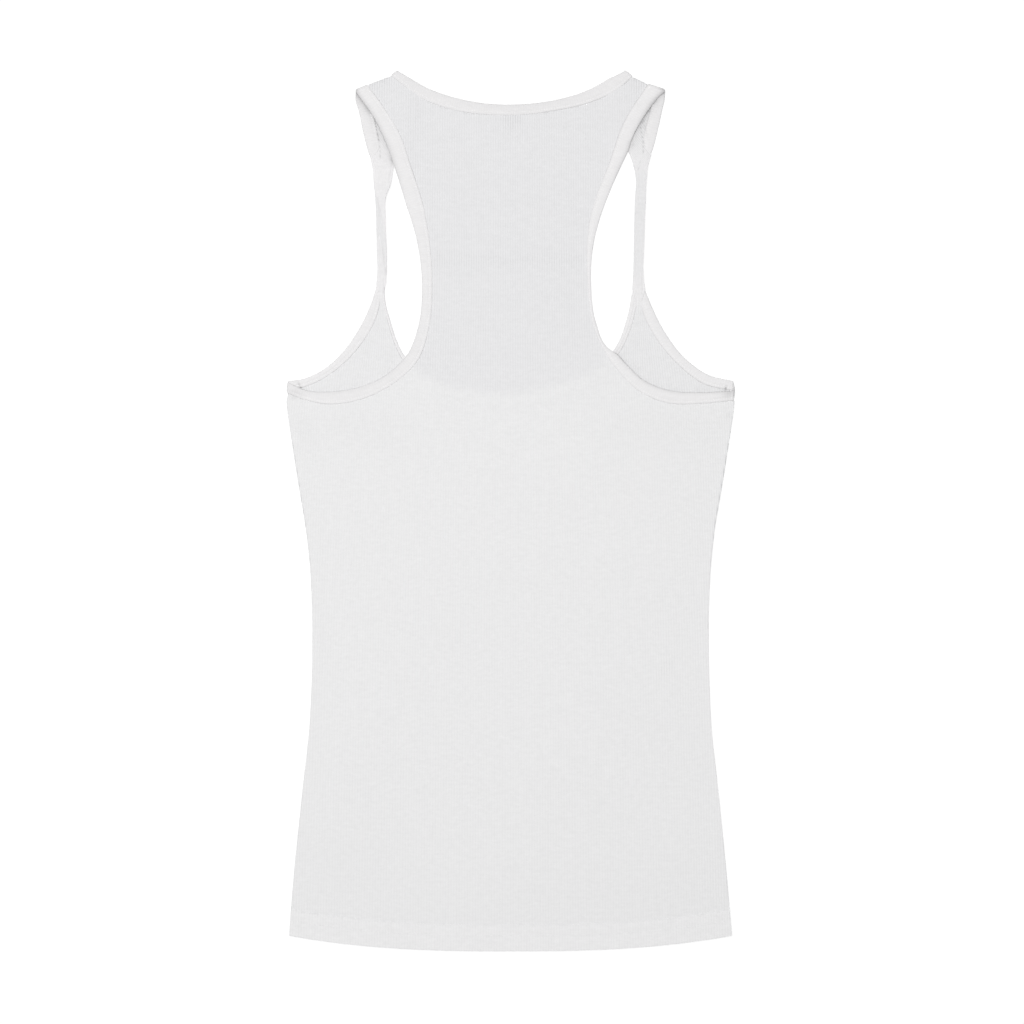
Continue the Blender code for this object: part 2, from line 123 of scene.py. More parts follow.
STITCH_BED = 0.62  # height of the stitches' groove, as a share of half the tape
STITCH_RISE = 0.4  # how far a tape's stitches rise out of it, as a share of their height
STITCH_SINK = 0.3  # how far the hem's sink into the cloth, the same
# The section's seam edge: distance inwards, half thickness
SEAM_LIP = ((0.04, 0.45), (0.5, 0.66), (1.1, 0.78), (1.6, 0.79), (STITCH_LINE, 0.74), (2.6, 0.81))

# Side seams: y, left x, right x
SIDES = (
    (97, -173.1, 173.2), (83, -172.9, 172.9), (69, -171.2, 171), (41, -167, 166.8),
    (14, -162.7, 162.4), (-14, -158.1, 157.7), (-42, -154.9, 154.7), (-70, -153.5, 153.2),
    (-98, -153, 152.8), (-139, -153.8, 153.7), (-167, -155.3, 155.1), (-209, -159.9, 159.6),
    (-264, -165.7, 165.2), (-292, -168.3, 167.8), (-328, -171, 170.8),
)

# Folds of the bindings at both ends of their rows, none under the arm: x and y of a fold's inner
# end, x and y of its outer end
NECK_FOLDS = (((-91.5, 335.2), (-86.0, 338.9)), ((93.5, 334.4), (86.9, 339.1)))
LEFT_FOLDS = (((-109.8, 327.9), (-119.6, 323.7)), None)
RIGHT_FOLDS = (((105.3, 328.6), (119.4, 323.8)), None)

# Back layer of each binding, from the left or from the shoulder: seam x, seam y, width of the tape
NECK_BACK = (
    (-91.5, 335.2, 6.6), (-83.7, 328.9, 7.6), (-68.9, 318.7, 9.2), (-48.5, 310.8, 9.6),
    (-20.7, 306.2, 8.7), (7, 305.8, 8.3), (35.7, 309.2, 8.3), (65, 316.5, 10),
    (84, 325.9, 10.8), (93.5, 334.4, 8.1),
)
ARMHOLE_BACK_LEFT = (
    (-109.8, 327.9, 10.7), (-97, 310.4, 11), (-85.5, 291, 12.6), (-77.2, 266.8, 12.3),
    (-68.4, 240, 12.8), (-63.4, 214.8, 10.2), (-60.4, 177, 8.2), (-63.2, 140, 8.6),
    (-71.6, 116, 9.5), (-90.2, 98.3, 8.8), (-113.3, 86.6, 9.6), (-141, 82.3, 9.6),
    (-163.4, 87, 7.4), (-172, 90.4, 8),
)
ARMHOLE_BACK_RIGHT = (
    (105.3, 328.6, 14.9), (102.9, 325.2, 13.1), (99.6, 320.4, 12.2), (93.4, 311.2, 11.8),
    (83.5, 291.6, 11.2), (80, 280.8, 11.2), (75.7, 268, 9.6), (66.9, 245.7, 8.8),
    (60.6, 223.2, 7.4), (58.8, 198, 4.2), (59.4, 176.6, 2.8), (63.4, 143.4, 3.1),
    (71.6, 124.6, 3.5), (75.6, 117.4, 7.2), (81.8, 109.1, 8.3), (98.9, 92.4, 9.2),
    (121.7, 83, 10), (147.5, 82.7, 8.8), (172, 84.9, 7.6),
)

# Front layer of each binding, from the left or the shoulder: x and y of the outer edge, width
ARMHOLE_FRONT_LEFT = (
    (-119.6, 323.7, 10.7), (-119.9, 318.5, 10.7), (-117.3, 308.5, 10.7), (-114.2, 293.7, 11),
    (-110.4, 278.5, 10.2), (-106.6, 265, 7.8), (-105.5, 251, 6.2), (-104.5, 242, 3.2),
    (-103.8, 225, 2.9), (-103.3, 200, 2.9), (-103.2, 178.6, 3), (-105.2, 168.4, 5.2),
    (-109.6, 155.6, 7.6), (-117, 140.8, 8.1), (-130, 122.3, 6.9), (-145.8, 108.4, 6),
    (-161.5, 101.6, 6.4), (-172, 100.1, 7.3),
)
ARMHOLE_FRONT_RIGHT = (
    (119.4, 323.8, 14.9), (119.2, 318.5, 12), (117.3, 310, 9.6), (114, 295, 10.1),
    (110.1, 279.5, 8.8), (106.2, 266, 5.6), (105, 254.5, 3.3), (104.2, 236, 2.9),
    (103.1, 205, 2.9), (102.9, 179, 3), (104.9, 168.8, 5.6), (108.7, 159, 8),
    (118.9, 138.6, 8.6), (136, 116.7, 7.4), (152, 105.4, 8), (172, 100.2, 7.4),
)
NECK_FRONT = (
    (-86, 338.9, 6.6), (-82.4, 330, 7.6), (-81.6, 316, 8.2), (-84, 292, 8.2), (-90.3, 265, 6.5),
    (-92.6, 251.5, 5), (-95.9, 243.5, 3.2), (-96.5, 225, 2.8), (-95.7, 200, 2.9),
    (-96, 177.5, 2.8), (-97.1, 166.8, 2), (-92.6, 146, 2.4), (-81.6, 119.4, 3.2),
    (-60, 101.6, 7), (-30, 93.6, 8.5), (0, 91.8, 8.5), (30, 96.6, 8.4), (60, 107, 7),
    (80.4, 125.3, 4.8), (90, 149.4, 5.2), (93.3, 166, 4.6), (94.4, 177, 3), (95.2, 205, 2.9),
    (96, 240, 2.9), (96.7, 257.5, 3.3), (94.9, 266.5, 4.6), (92.6, 273.5, 5.8),
    (89.8, 278.5, 6.8), (86.4, 298, 8.4), (84.4, 316, 8.4), (84.8, 330, 8), (86.9, 339.1, 8.1),
)

# Bindings: name, node, side of its back seam on which it lies (1 is the left of the rows' travel),
# rows of its back and front layers, folds
BINDINGS = (
    ("neck_tape", "neck_binding", 1, NECK_BACK, NECK_FRONT, NECK_FOLDS),
    (
        "left_armhole_tape",
        "armhole_binding_left",
        -1,
        ARMHOLE_BACK_LEFT,
        ARMHOLE_FRONT_LEFT,
        LEFT_FOLDS,
    ),
    (
        "right_armhole_tape",
        "armhole_binding_right",
        1,
        ARMHOLE_BACK_RIGHT,
        ARMHOLE_FRONT_RIGHT,
        RIGHT_FOLDS,
    ),
)

# Strap cloth, from the shoulder to where the front opens out: y, whether it lies over the
# armhole's tape (1) or beside it (0), the same for the neck's tape, height of its underside,
# share of its thickness that it keeps beside a tape, and share of the binding's colour it takes
OVER_ARMHOLE, OVER_NECK, RAISED, KEPT, BOUND = range(1, 6)
STRAP_LEFT = (
    (330, 0, 0, 0, 0.95, 0), (288, 0, 0, 0.2, 1, 0.5), (278, 0, 0, 0.9, 0.8, 1),
    (270, 1, 1, 1.5, 0.4, 1), (262, 1, 1, 1.7, 0.6, 1), (248, 1, 1, 1.9, 1.1, 0.75),
    (182, 1, 1, 1.9, 1.1, 0.75), (175, 1, 1, 1.55, 0.4, 1), (167, 0, 0, 0.8, 0.8, 1),
    (158, 0, 0, 0, 0.95, 0),
)
STRAP_RIGHT = (
    (330, 0, 0, 0, 0.95, 0), (290, 0, 0, 0.2, 1, 0.2), (282, 0, 0, 0.9, 0.8, 0.5),
    (275, 1, 1, 1.5, 0.4, 0.6), (268, 1, 1, 1.7, 0.7, 0.6), (263, 1, 1, 1.9, 1.1, 0.6),
    (260.5, 1, 1, 1.9, 1.1, 0), (184, 1, 1, 1.9, 1.1, 0), (181, 1, 1, 1.9, 1, 0.6),
    (172, 1, 1, 1.55, 0.4, 0.9), (163, 0, 0, 0.8, 0.8, 1), (155, 0, 0, 0, 0.95, 0),
)

# Ribs of the straps: x of a strap's middle, share by which they draw together, half width of the
# cloth that does, and the y at which it starts and is full
GATHER_X, GATHER, GATHER_WIDTH, GATHER_Y = 100.0, 0.42, 48, (88, 190)
# Lean of the ribs in the tops of the straps: sideways for each millimetre up, y of the start and
# the end of the change, y that stays in place, x of the middle line, half width of the change from
# one strap to the other, and how much wider the ribs get
LEAN, LEAN_Y, LEAN_BASE, LEAN_X, LEAN_SIDES, LEAN_SPREAD = 0.8, (258, 275), 264, 95, 50, 0.28

# Where the left strap has twisted: creases along y + TWIST_SLOPE * (x - TWIST_X) = level. Each has
# its level and the stretch of x that it takes.
TWIST_X = -101.0
TWIST_SLOPE = 4.0
TWISTS = ((231.0, -105.5, -98.6), (208.0, -102.5, -96.0))
TWIST_DEPTH = 0.7
TWIST_WIDTH = 3.0

# Soft waves of the back: height, shares of x and y in its direction, length, start, and how much
# it bends; then the length of the bends, the height all over, and the distances in from the edge
# and up from the hem over which the waves come up
WAVES = ((0.22, 1, 0, 31, 0, 0.7), (0.18, 0.35, 1, 43, 0, 0), (0.12, 1, -0.6, 24, 1.3, 0))
WAVE_BEND, WAVE_BASE, WAVE_IN, WAVE_UP = 60, 0.5, (4, 40), (22, 60)

# Shade that the upper layer casts on the lower one beside a back tape: y, strength close to the
# tape's edge and strength further out
SHADE_LEFT = (
    (330, 0.45, 0.35), (318, 0.25, 0.3), (305, 0, 0.2), (275, 0, 0.2), (268, 0.08, 0.15),
    (262, 0, 0), (150, 0, 0), (138, 0, 0.03), (95, 0, 0.03),
)
SHADE_RIGHT = (
    (330, 0.3, 0.28), (318, 0.1, 0.22), (305, 0, 0.24), (297, 0, 0.28), (290, 0, 0.2),
    (281, 0, 0.16), (272, 0, 0), (150, 0, 0), (135, 0.1, 0.06), (110, 0.05, 0.05),
    (95, 0.04, 0.04),
)
SHADE_REACH = (0.7, 3.0)
SHADE_INNER = (-3.0, -1.5)  # distances in under the tape where the shade ends and is full

# Shade on the back tapes themselves, strongest at the outer edge: y, strength, and distance over
# which it fades
OUTER_LEFT = (
    (330, 0.22, 2), (318, 0.18, 2), (305, 0.15, 2.2), (275, 0.15, 2.3), (265, 0.12, 2.2),
    (255, 0.07, 2), (240, 0.02, 2), (150, 0.02, 2), (135, 0.04, 3.2), (88, 0.05, 3.4),
)
OUTER_RIGHT = (
    (330, 0.28, 2.4), (317, 0.27, 2.4), (311, 0.17, 2.4), (300, 0.08, 2.4), (290, 0.05, 2.3),
    (286, 0.17, 2.3), (280, 0.14, 2.3), (262, 0.12, 1.8), (250, 0.05, 1.5), (235, 0, 1.5),
    (150, 0, 1.5), (125, 0.06, 1.6), (88, 0.1, 1.8),
)
# The same for the neck's, by x, and its shade all over
OUTER_NECK = ((-60, 0.01, 4.5), (-15, 0.035, 4.5), (35, 0.035, 4.5), (70, 0.015, 4.5))
NECK_SHADE = 0.018

# Soft dark spots of painted shade, where a layer is folded or pressed down and in a few broad
# faint patches: x, y, half length, half width, its direction in degrees and its strength. The first
# table is of the lower layer, the second of the upper one.
FRONT_SHADE_SPOTS = (
    (-91.7, 270.7, 2.6, 1.3, -65, 0.2), (-110.2, 309.7, 5, 1.5, -60, 0.15),
    (-102.6, 290.6, 1.3, 0.6, -60, 0.25), (-101.8, 286.4, 1.4, 0.6, -65, 0.25),
    (-101.2, 281.2, 1.2, 0.6, -75, 0.2), (-100.8, 277.6, 1, 0.55, -80, 0.16),
    (-100.7, 273.8, 1.4, 0.55, -88, 0.24), (-93.6, 258.8, 4, 0.5, 70, 0.06),
    (-101.5, 234.6, 10, 0.55, -76, 0.14), (-98, 195.5, 9, 0.55, -82, 0.13),
    (-96.3, 184.7, 1.5, 0.8, 90, 0.28), (102.3, 300.8, 2.4, 1, 50, 0.28),
    (104.1, 304.8, 2.2, 0.9, 35, 0.22), (106.2, 308.4, 2.2, 0.9, 40, 0.32),
    (111.5, 315.9, 2.2, 0.9, 45, 0.15), (103.6, 296.6, 2, 0.4, -60, 0.12),
    (104.4, 293.9, 2, 0.4, -60, 0.12), (105.1, 291.2, 1.8, 0.4, -60, 0.1),
    (105.5, 288.1, 1.6, 0.4, -60, 0.08), (100.4, 296, 1, 0.6, -75, 0.3),
    (101.1, 292.3, 0.9, 0.6, -77, 0.28), (101.8, 288.6, 0.9, 0.6, -80, 0.3),
    (102.4, 284.9, 1, 0.6, -85, 0.3), (102.5, 281.3, 0.9, 0.6, 90, 0.26),
    (102.4, 277.4, 1.3, 0.6, 88, 0.3), (99.9, 269.2, 1.3, 0.5, 75, 0.12),
    (98.7, 264, 1.1, 0.5, 75, 0.14), (94.4, 283, 1.8, 1.2, 60, 0.08),
    (92.8, 286.4, 1.8, 1.2, 60, 0.22), (-161.6, 94.9, 1.6, 0.8, -20, 0.45),
    (-163.5, 97.8, 1.8, 0.9, -60, 0.2), (-165, 95.3, 3, 0.5, -15, 0.3),
    (166.1, 94.6, 2, 0.7, 75, 0.45), (161.5, 92.2, 5, 0.6, 3, 0.35),
)
BACK_SHADE_SPOTS = (
    (117.5, 325.5, 4, 2, -35, 0.15), (-119.6, 324.4, 2.5, 1.5, 45, 0.12),
    (-167, 91, 7, 2.5, -15, 0.08), (-169.5, 89.2, 4, 0.8, -22, 0.12),
    (172.8, 90, 5, 0.7, 90, 0.55), (168.4, 90.5, 5, 3.5, 30, 0.16),
    (168.2, 73.4, 3, 2, 30, 0.06), (-158.9, 62.7, 12, 5, -60, 0.02),
    (-120, 64, 40, 14, 0, 0.011), (120, 64, 40, 14, 0, 0.011), (78, 302, 20, 15, 0, 0.01),
    (-128, -265, 40, 30, 0, 0.009),
)
# Cloth above the hem, darkened with the painted shade tint: strength, height up to which it is
# even, and distance over which it fades
HEM_TONE, HEM_TONE_TOP, HEM_TONE_FADE = 0.008, 25, 20
# Painted shade beside the hem's upper seam, where the hem steps down: strength, height, and half
# widths below and above it
HEM_STEP_SHADE, STEP_AT, STEP_WIDTHS = 0.021, 20.4, (1.4, 2.4)
HEM_BOUND = 0.27  # share of the binding's colour that the double cloth of the hem takes
# Single cloth of the back, which is darker: distances into the front's cloth from its neckline
# between which it ends, and y between which all of the back becomes single. Then the front's share
# of its colour, how much more it takes on the right, and the y between which that ends
SINGLE_IN, SINGLE_Y = (-4, 5.5), (100, 150)
FRONT_SINGLE, RIGHT_SINGLE, RIGHT_SINGLE_Y = 0.35, 0.1, (150, 180)

# Painted shade in the furrows between ribs, deeper where the ribs open: distance from the shoulder
# seams over which it fades, share where the back is single, and in the front the y, the share below
# it and the rise above it on the left and on the right
FURROW_REACH = 5.0
SINGLE_FURROW = 0.11
FRONT_FURROW_Y, FURROW_LEFT, FURROW_RIGHT = (272, 290), (0.1, 0.5), (0.2, 0.4)
RACER_LINE = (194.0, 6.0, 0.3, 58)  # a crease across the back: y, half width, opening, half length
NECK_RIBS = (1.3, 303.0, 7.6, 9.0, 0.8)  # below the neck: x, y, half width, half height, opening
# Patches further down, laid out as the spots are
RIB_SPOTS = ((119.0, -122.0, 9.5, 4.0, 50, 0.45), (-124.0, -219.0, 20.0, 14.0, 0, 0.1))

# Painted shade along the seams of the armholes' tapes, a dark line where the seam's gap lies in
# shadow: y, strength on the back's left, back's right, front's left and front's right
SEAM_LINE = (
    (330, 0, 0.12, 0, 0.1), (316, 0, 0.12, 0.3, 0.1), (308, 0, 0.12, 0.5, 0.12),
    (296, 0, 0.12, 0.5, 0.15), (288, 0, 0.12, 0.2, 0.1), (270, 0, 0.08, 0, 0),
    (240, 0, 0.04, 0, 0), (172, 0, 0.02, 0.12, 0), (155, 0, 0, 0.06, 0.08),
    (120, 0, 0, 0.02, 0.08), (60, 0, 0.04, 0.02, 0.08),
)
# The same for the neck's tape, by x
NECK_LINE = ((18, 0.0), (30, 0.08), (80, 0.08))
FRONT_NECK_LINE = ((-96, 0.0), (-93, 0.22), (-84, 0.22), (-75, 0.0))
# The line breaks up into dashes: their distance, swing and length of the drift in their places,
# part of the wave that is open, and the strengths between which the line breaks up
DASH, DASH_DRIFT, DRIFT_LENGTH, DASH_OPEN, DASHED = 2.4, 1.2, 2.3, (-0.3, 0.6), (0.15, 0.4)

# Height of the back layer's underside against the distance from an outer edge of the front layer,
# measured into the cloth: distance, height
LIFT_AT_NECK = ((-20, 0.0), (-13, 0.3), (-6, 1.2), (-2.5, 1.9), (10.5, 1.9), (15, 1.3))
LIFT_AT_ARMHOLE = ((-3, 0.0), (-2, 0.6), (10.5, 0.6), (15, 0.0))

# x, y of the ends of the cloth's shoulder edge: next to the armhole, next to the neck
SHOULDER_LEFT = ((-108.9, 329.3), (-96.0, 334.2))
SHOULDER_RIGHT = ((104.6, 329.8), (96.4, 333.8))
LIFT_TOP = 330.0  # above this y the layers lie as they do at it
LIFT_STEP = 4.0  # distance between points of the edges it is measured from
LIFTED = 0.9  # the back counts as lying on the front's cloth from this height
LIFT_SOFT = 2.5  # half the distance over which the cloth bridges a step
LIFT_AROUND = ((0, 0), (1, 0), (-1, 0), (0, 1), (0, -1), (2, 0), (-2, 0), (0, 2), (0, -2))

# Cotton: its loops, its flecks and its colours
LOOP_SLANT = 0.8  # how far the legs of a loop slant, in loops
LOOP_WAVE = 0.8  # height of the loops against that of the ribs
FURROW_SOFT = 0.1  # how softly a furrow ends in its middle
# Powers of the furrow's curve for the two outputs, and the noise that breaks them up
FURROW_POWERS = (("Groove", 2.0), ("Line", 5.0))
FURROW_BREAKS = {"Scale": 1.3, "Detail": 2.0, "Roughness": 0.7}
FURROW_RANGE = {"From Min": 0.35, "From Max": 0.65, "To Min": 0.7}
# Painted shade in the furrows, at its darkest where the ribs open
FURROW_DARK = 0.3  # how dark the furrows are where the ribs open
FLECK_STRETCH = (0.45, 1.0, 1.0)  # the flecks are longer across the ribs
FLECKS = (("Fine", 420.0, 3.0), ("Broad", 22.0, 4.0))  # scale and detail
FLECK_ROUGH = 0.6
KNIT_BUMP, THREAD_BUMP = 0.00002, 0.000005
SPECULAR = 0.15
SHEEN_ROUGH = 0.6
# Colours that the cloth is multiplied by
SINGLE_TINT = (0.961, 0.961, 0.968)
BOUND_TINT = (1.048, 1.039, 1.039)
SHADED = (0.05, 0.05, 0.055)

# Studio, in metres
CARD_HALF = 3.0  # half width of the card
CARD_GREY = (0.4, 0.4, 0.4, 1)
CARD_GLOW = 0.64
CARD_GRAIN = 300.0
WORLD_LIGHT = 0.305
KEY_LIGHT = 59.3
SOFT_BOX, SOFT_BOX_AT = 2.4, (-0.31, 0.27, 2.4)
LENS, SENSOR, CAMERA_AT = 100, 36, (0.00108, -0.00095, 2.1987)


# Lines


def curve(rows, step):
    """Points about one step apart on a smooth curve through the rows, all columns carried along.

    Each stretch is a cubic that starts and ends with the slope of the rows on both sides of it.
    """
    rows = np.array(rows, float)
    at = travelled(rows[:, :2])
    slope = np.gradient(rows, at, axis=0)
    where = np.linspace(0, at[-1], int(np.ceil(at[-1] / step)) + 1)
    i = np.clip(np.searchsorted(at, where) - 1, 0, len(at) - 2)
    length = (at[i + 1] - at[i])[:, None]
    t = ((where - at[i]) / (at[i + 1] - at[i]))[:, None]
    return (
        rows[i] * (1 + 2 * t) * (1 - t) ** 2
        + rows[i + 1] * t**2 * (3 - 2 * t)
        + slope[i] * length * t * (1 - t) ** 2
        - slope[i + 1] * length * t**2 * (1 - t)
    )


def travelled(path):
    """Distance gone along a path at each of its points."""
    return np.concatenate([[0], np.cumsum(np.linalg.norm(np.diff(path, axis=0), axis=1))])


def unit(vectors):
    """Vectors of length 1 in the same directions."""
    return vectors / np.linalg.norm(vectors, axis=-1, keepdims=True)


def table(rows, value, column=1):
    """A column of the rows, read at value in the first."""
    rows = np.array(rows, float)
    order = rows[:, 0].argsort()
    return np.interp(value, rows[order, 0], rows[order, column])


def by_side(points, left, right, column):
    """A column of the left side's table or of the right side's, read at the points' y."""
    y = points[:, 1]
    return np.where(points[:, 0] < 0, table(left, y, column), table(right, y, column))


def ramp(value, low, high):
    """0 below low, 1 above high and an S-shaped rise between them."""
    t = np.clip((value - low) / (high - low), 0, 1)
    return t * t * (3 - 2 * t)


def bell(offset, width):
    """1 where the offset is 0, falling on a bell curve to about a third at one width."""
    return np.exp(-((offset / width) ** 2))


def smooth(values, reach):
    """Values averaged with their neighbours out to reach, the end values carried on."""
    kernel = np.hanning(2 * reach + 3)[1:-1]
    return np.convolve(np.pad(values, reach, mode="edge"), kernel / kernel.sum(), mode="valid")


def nearest(points, line):
    """Distance from each point to a line of straight runs, the nearest run, and 1 on its left."""
    start, run = line[:-1], np.diff(line, axis=0)
    found = []
    for first in range(0, len(points), BLOCK):
        offset = points[first : first + BLOCK, None] - start[None]
        t = np.clip((offset * run).sum(2) / (run**2).sum(1), 0, 1)
        away = offset - t[..., None] * run
        length = np.linalg.norm(away, axis=2)
        which = length.argmin(axis=1)
        each = np.arange(len(which))
        out, along = away[each, which], run[which]
        left = along[:, 0] * out[:, 1] - along[:, 1] * out[:, 0] >= 0
        found.append(np.stack([length[each, which], which, left], axis=1))
    return np.concatenate(found).T


def distance_to(points, line, inside):
    """Signed distance from a line: positive on the left of its travel (inside 1) or right (-1)."""
    length, _, left = nearest(points, line)
    return np.where(left * 2 - 1 == inside, 1, -1) * length


def within(points, outline):
    """Signed distance to a closed outline, positive inside it, and the number of the nearest run.

    A point is inside when a level line from it crosses the outline an odd number of times.
    """
    closed = np.vstack([outline, outline[:1]])
    length, which, _ = nearest(points, closed)
    (x0, y0), (x1, y1) = closed[:-1].T, closed[1:].T
    slope = (x1 - x0) / np.where(y1 == y0, 1, y1 - y0)
    odd = []
    for first in range(0, len(points), BLOCK):
        x, y = points[first : first + BLOCK].T[..., None]
        crossed = ((y0 > y) != (y1 > y)) & (x < x0 + (y - y0) * slope)
        odd.append(crossed.sum(axis=1) % 2 == 1)
    return np.where(np.concatenate(odd), 1, -1) * length, which.astype(int)


# Edges of the garment


def outward(path, side, folds):
    """Unit vectors from a tape's seam to its outer edge, turned into line with each end's fold."""
    along = unit(np.gradient(path[:, :2], axis=0))
    out = side * np.stack([-along[:, 1], along[:, 0]], axis=1)
    gone = travelled(path[:, :2])
    for ends, far in zip(folds, (gone, gone[-1] - gone)):
        if ends is not None:
            share = np.clip(1 - far / FOLD_REACH, 0, 1)[:, None]
            out = out * (1 - share) + share * unit(np.subtract(ends[1], ends[0]))
    return unit(out)


def hem_curve(x):
    """Height of the hem's edge over its middle: a power of the distance from there."""
    return HEM_RISE * np.abs(np.asarray(x, float) / HEM_HALF_WIDTH) ** HEM_POWER


def hem_thickness(above):
    """Thickness of the cloth: the hem's below its seam, then down a straight slope."""
    return np.interp(above, (HEM_DEPTH, HEM_DEPTH + HEM_SLOPE), (HEM_CLOTH, CLOTH))


def side_x(y, column):
    """x of the side seam at y; column is 1 on the left and 2 on the right."""
    side = curve(SIDES, SIDE_STEP)[::-1]
    return np.interp(y, side[:, 0], side[:, column])


def hem_edge():
    """Points along the hem's edge from side to side."""
    across = np.linspace(-1, 1, HEM_POINTS)
    y = HEM_Y + hem_curve(across * HEM_HALF_WIDTH)
    return np.stack([np.interp(across, (-1, 1), (side_x(y[0], 1), side_x(y[-1], 2))), y], axis=1)


def side_edge(column):
    """Points up a side seam from above the hem's edge."""
    y = np.linspace(HEM_Y + HEM_RISE, SIDE_TOP, SIDE_POINTS)[1:]
    return np.stack([side_x(y, column), y], axis=1)


def from_edge(points, rows, inside):
    """Signed distance from an outer edge of the front layer, positive on its cloth."""
    return distance_to(points, curve(rows, LIFT_STEP)[:, :2], inside)


def lift(points):
    """Height of the back layer's underside over the floor, the front's cloth and its bindings."""
    points = np.minimum(points, (np.inf, LIFT_TOP))
    height = table(LIFT_AT_NECK, from_edge(points, NECK_FRONT, -1))
    on_cloth = ramp(height, LIFTED / 2, LIFTED)
    for rows, inside in ((ARMHOLE_FRONT_LEFT, 1), (ARMHOLE_FRONT_RIGHT, -1)):
        over = CLOTH + LAYER_GAP + table(LIFT_AT_ARMHOLE, from_edge(points, rows, inside))
        height = np.maximum(height, over * on_cloth)
    return height


def soft_lift(points):
    """The lift averaged with its values a little way off all round, as cloth bridges a step."""
    return np.mean([lift(points + offset) for offset in LIFT_SOFT * np.array(LIFT_AROUND)], axis=0)


def strap(points, column):
    """A column of the strap tables at the points."""
    return by_side(points, STRAP_LEFT, STRAP_RIGHT, column)


def full(half):
    """1 for a tape of full width, less for one that has rolled under."""
    return np.clip(half / FULL_HALF, 0, 1)


def back_tape(rows, side, folds):
    """Centres, directions to the outer edge and half widths of a tape on the upper layer.

    It lies outside its seam, at the height of that layer, evened out along it.
    """
    path = curve(rows, TAPE_STEP)
    out = outward(path, side, folds)
    width = path[:, 2:3]
    centre = path[:, :2] + out * (SEAM_GAP + width) / 2
    samples = [soft_lift(centre + out * width * part) for part in (-0.5, 0, 0.5)]
    height = smooth(np.mean(samples, axis=0), HEIGHT_REACH) + TAPE / 2
    return np.column_stack([centre, height]), out, (width[:, 0] - SEAM_GAP) / 2


def covered(path, rows):
    """1 where the strap's cloth lies over the tape, 0 where it lies beside it."""
    return ramp(strap(path, OVER_NECK if rows is NECK_FRONT else OVER_ARMHOLE), 0, 1)


def front_tape(rows, side, folds):
    """The same for a tape on the lower layer: it lies inside its outer edge, on the floor."""
    path = curve(rows, TAPE_STEP)
    out = outward(path, -side, folds)
    centre = path[:, :2] - out * (path[:, 2] / 2 + STRAP_COVER * covered(path, rows))[:, None]
    return np.column_stack([centre, np.full(len(centre), TAPE / 2)]), out, path[:, 2] / 2


def back_cut(rows, side, folds):
    """Cut edge of the back's cloth: its seam line, carried on under the tape."""
    path = curve(rows, LIFT_STEP / 2)
    return path[:, :2] + outward(path, side, folds) * (SEAM_GAP + TUCK * full(path[:, 2:3] / 2))


def front_cut(rows, side, folds):
    """Cut edge of the front's cloth as far as the side seam.

    It is under the tape, or out at the tape's outer edge where the cloth lies over it.
    """
    path = curve(rows, LIFT_STEP / 2)
    inward = (path[:, 2] - TUCK * full(path[:, 2] / 2)) * (1 - covered(path, rows))
    edge = path[:, :2] - outward(path, -side, folds) * inward[:, None]
    return edge[np.abs(edge[:, 0]) < ARMHOLE_END]


# Shades and colours, as masks from 0 to 1


def cast_shade(points):
    """How strongly the upper layer shades the lower one: full at the back tape's edge.

    It fades outwards, and well in under the tape it is nothing, so that the front's edge at the
    shoulder seam keeps its colour.
    """
    found = []
    for _, _, side, rows, _, folds in BINDINGS[1:]:
        path = curve(rows, LIFT_STEP / 2)
        edge = path[:, :2] + outward(path, side, folds) * path[:, 2:3]
        found.append(distance_to(points, edge, side))
    beyond = np.where(points[:, 0] < 0, *found)
    layers = [
        by_side(points, SHADE_LEFT, SHADE_RIGHT, column) * np.exp(-np.maximum(beyond, 0) / reach)
        for column, reach in enumerate(SHADE_REACH, 1)
    ]
    return both(*layers) * ramp(beyond, *SHADE_INNER)


def spots(points, rows):
    """How dark the soft spots of a table make the points: a bell curve along and across each."""
    clear = np.ones(len(points))
    for x, y, long, wide, turn, strength in rows:
        c, s = np.cos(np.radians(turn)), np.sin(np.radians(turn))
        off = points - (x, y)
        clear *= 1 - strength * bell(off @ (c, s), long) * bell(off @ (-s, c), wide)
    return 1 - clear


def both(*shades):
    """Several shades laid over each other."""
    return 1 - np.prod([1 - shade for shade in shades], axis=0)


def seam_line(points, gone, lower, neck):
    """Painted shade on a tape's seam at points of its middle, gone along it, on either layer."""
    x, y = points.T
    if neck:
        return np.where(lower, table(FRONT_NECK_LINE, x), table(NECK_LINE, x))
    columns = [table(SEAM_LINE, y, column) for column in (1, 2, 3, 4)]
    strength = np.choose(2 * lower + (x >= 0), columns)
    wave = np.cos(TURN * gone / DASH + DASH_DRIFT * np.sin(gone / DRIFT_LENGTH))
    return strength * (1 - ramp(strength, *DASHED) * (1 - ramp(wave, *DASH_OPEN)))


def outer_shade(points, half, across, neck):
    """How dark a back tape is at its corners: most at the outer edge, on a bell curve inwards."""
    if neck:
        strength, reach = (table(OUTER_NECK, points[:, 0], column) for column in (1, 2))
    else:
        strength, reach = (by_side(points, OUTER_LEFT, OUTER_RIGHT, k) for k in (1, 2))
    return strength[:, None] * bell(half[:, None] - across, reach[:, None]) + NECK_SHADE * neck


def twist_level(place):
    """Level of the slanting lines on which the left strap is creased."""
    return place[:, 1] + TWIST_SLOPE * (place[:, 0] - TWIST_X)


def single(place, above, depth):
    """1 where the back is single cloth: inside the front's neckline, and all over the racer."""
    beside_front = 1 - ramp(from_edge(place, NECK_FRONT, -1), *SINGLE_IN)
    return np.maximum(beside_front, ramp(place[:, 1], *SINGLE_Y))


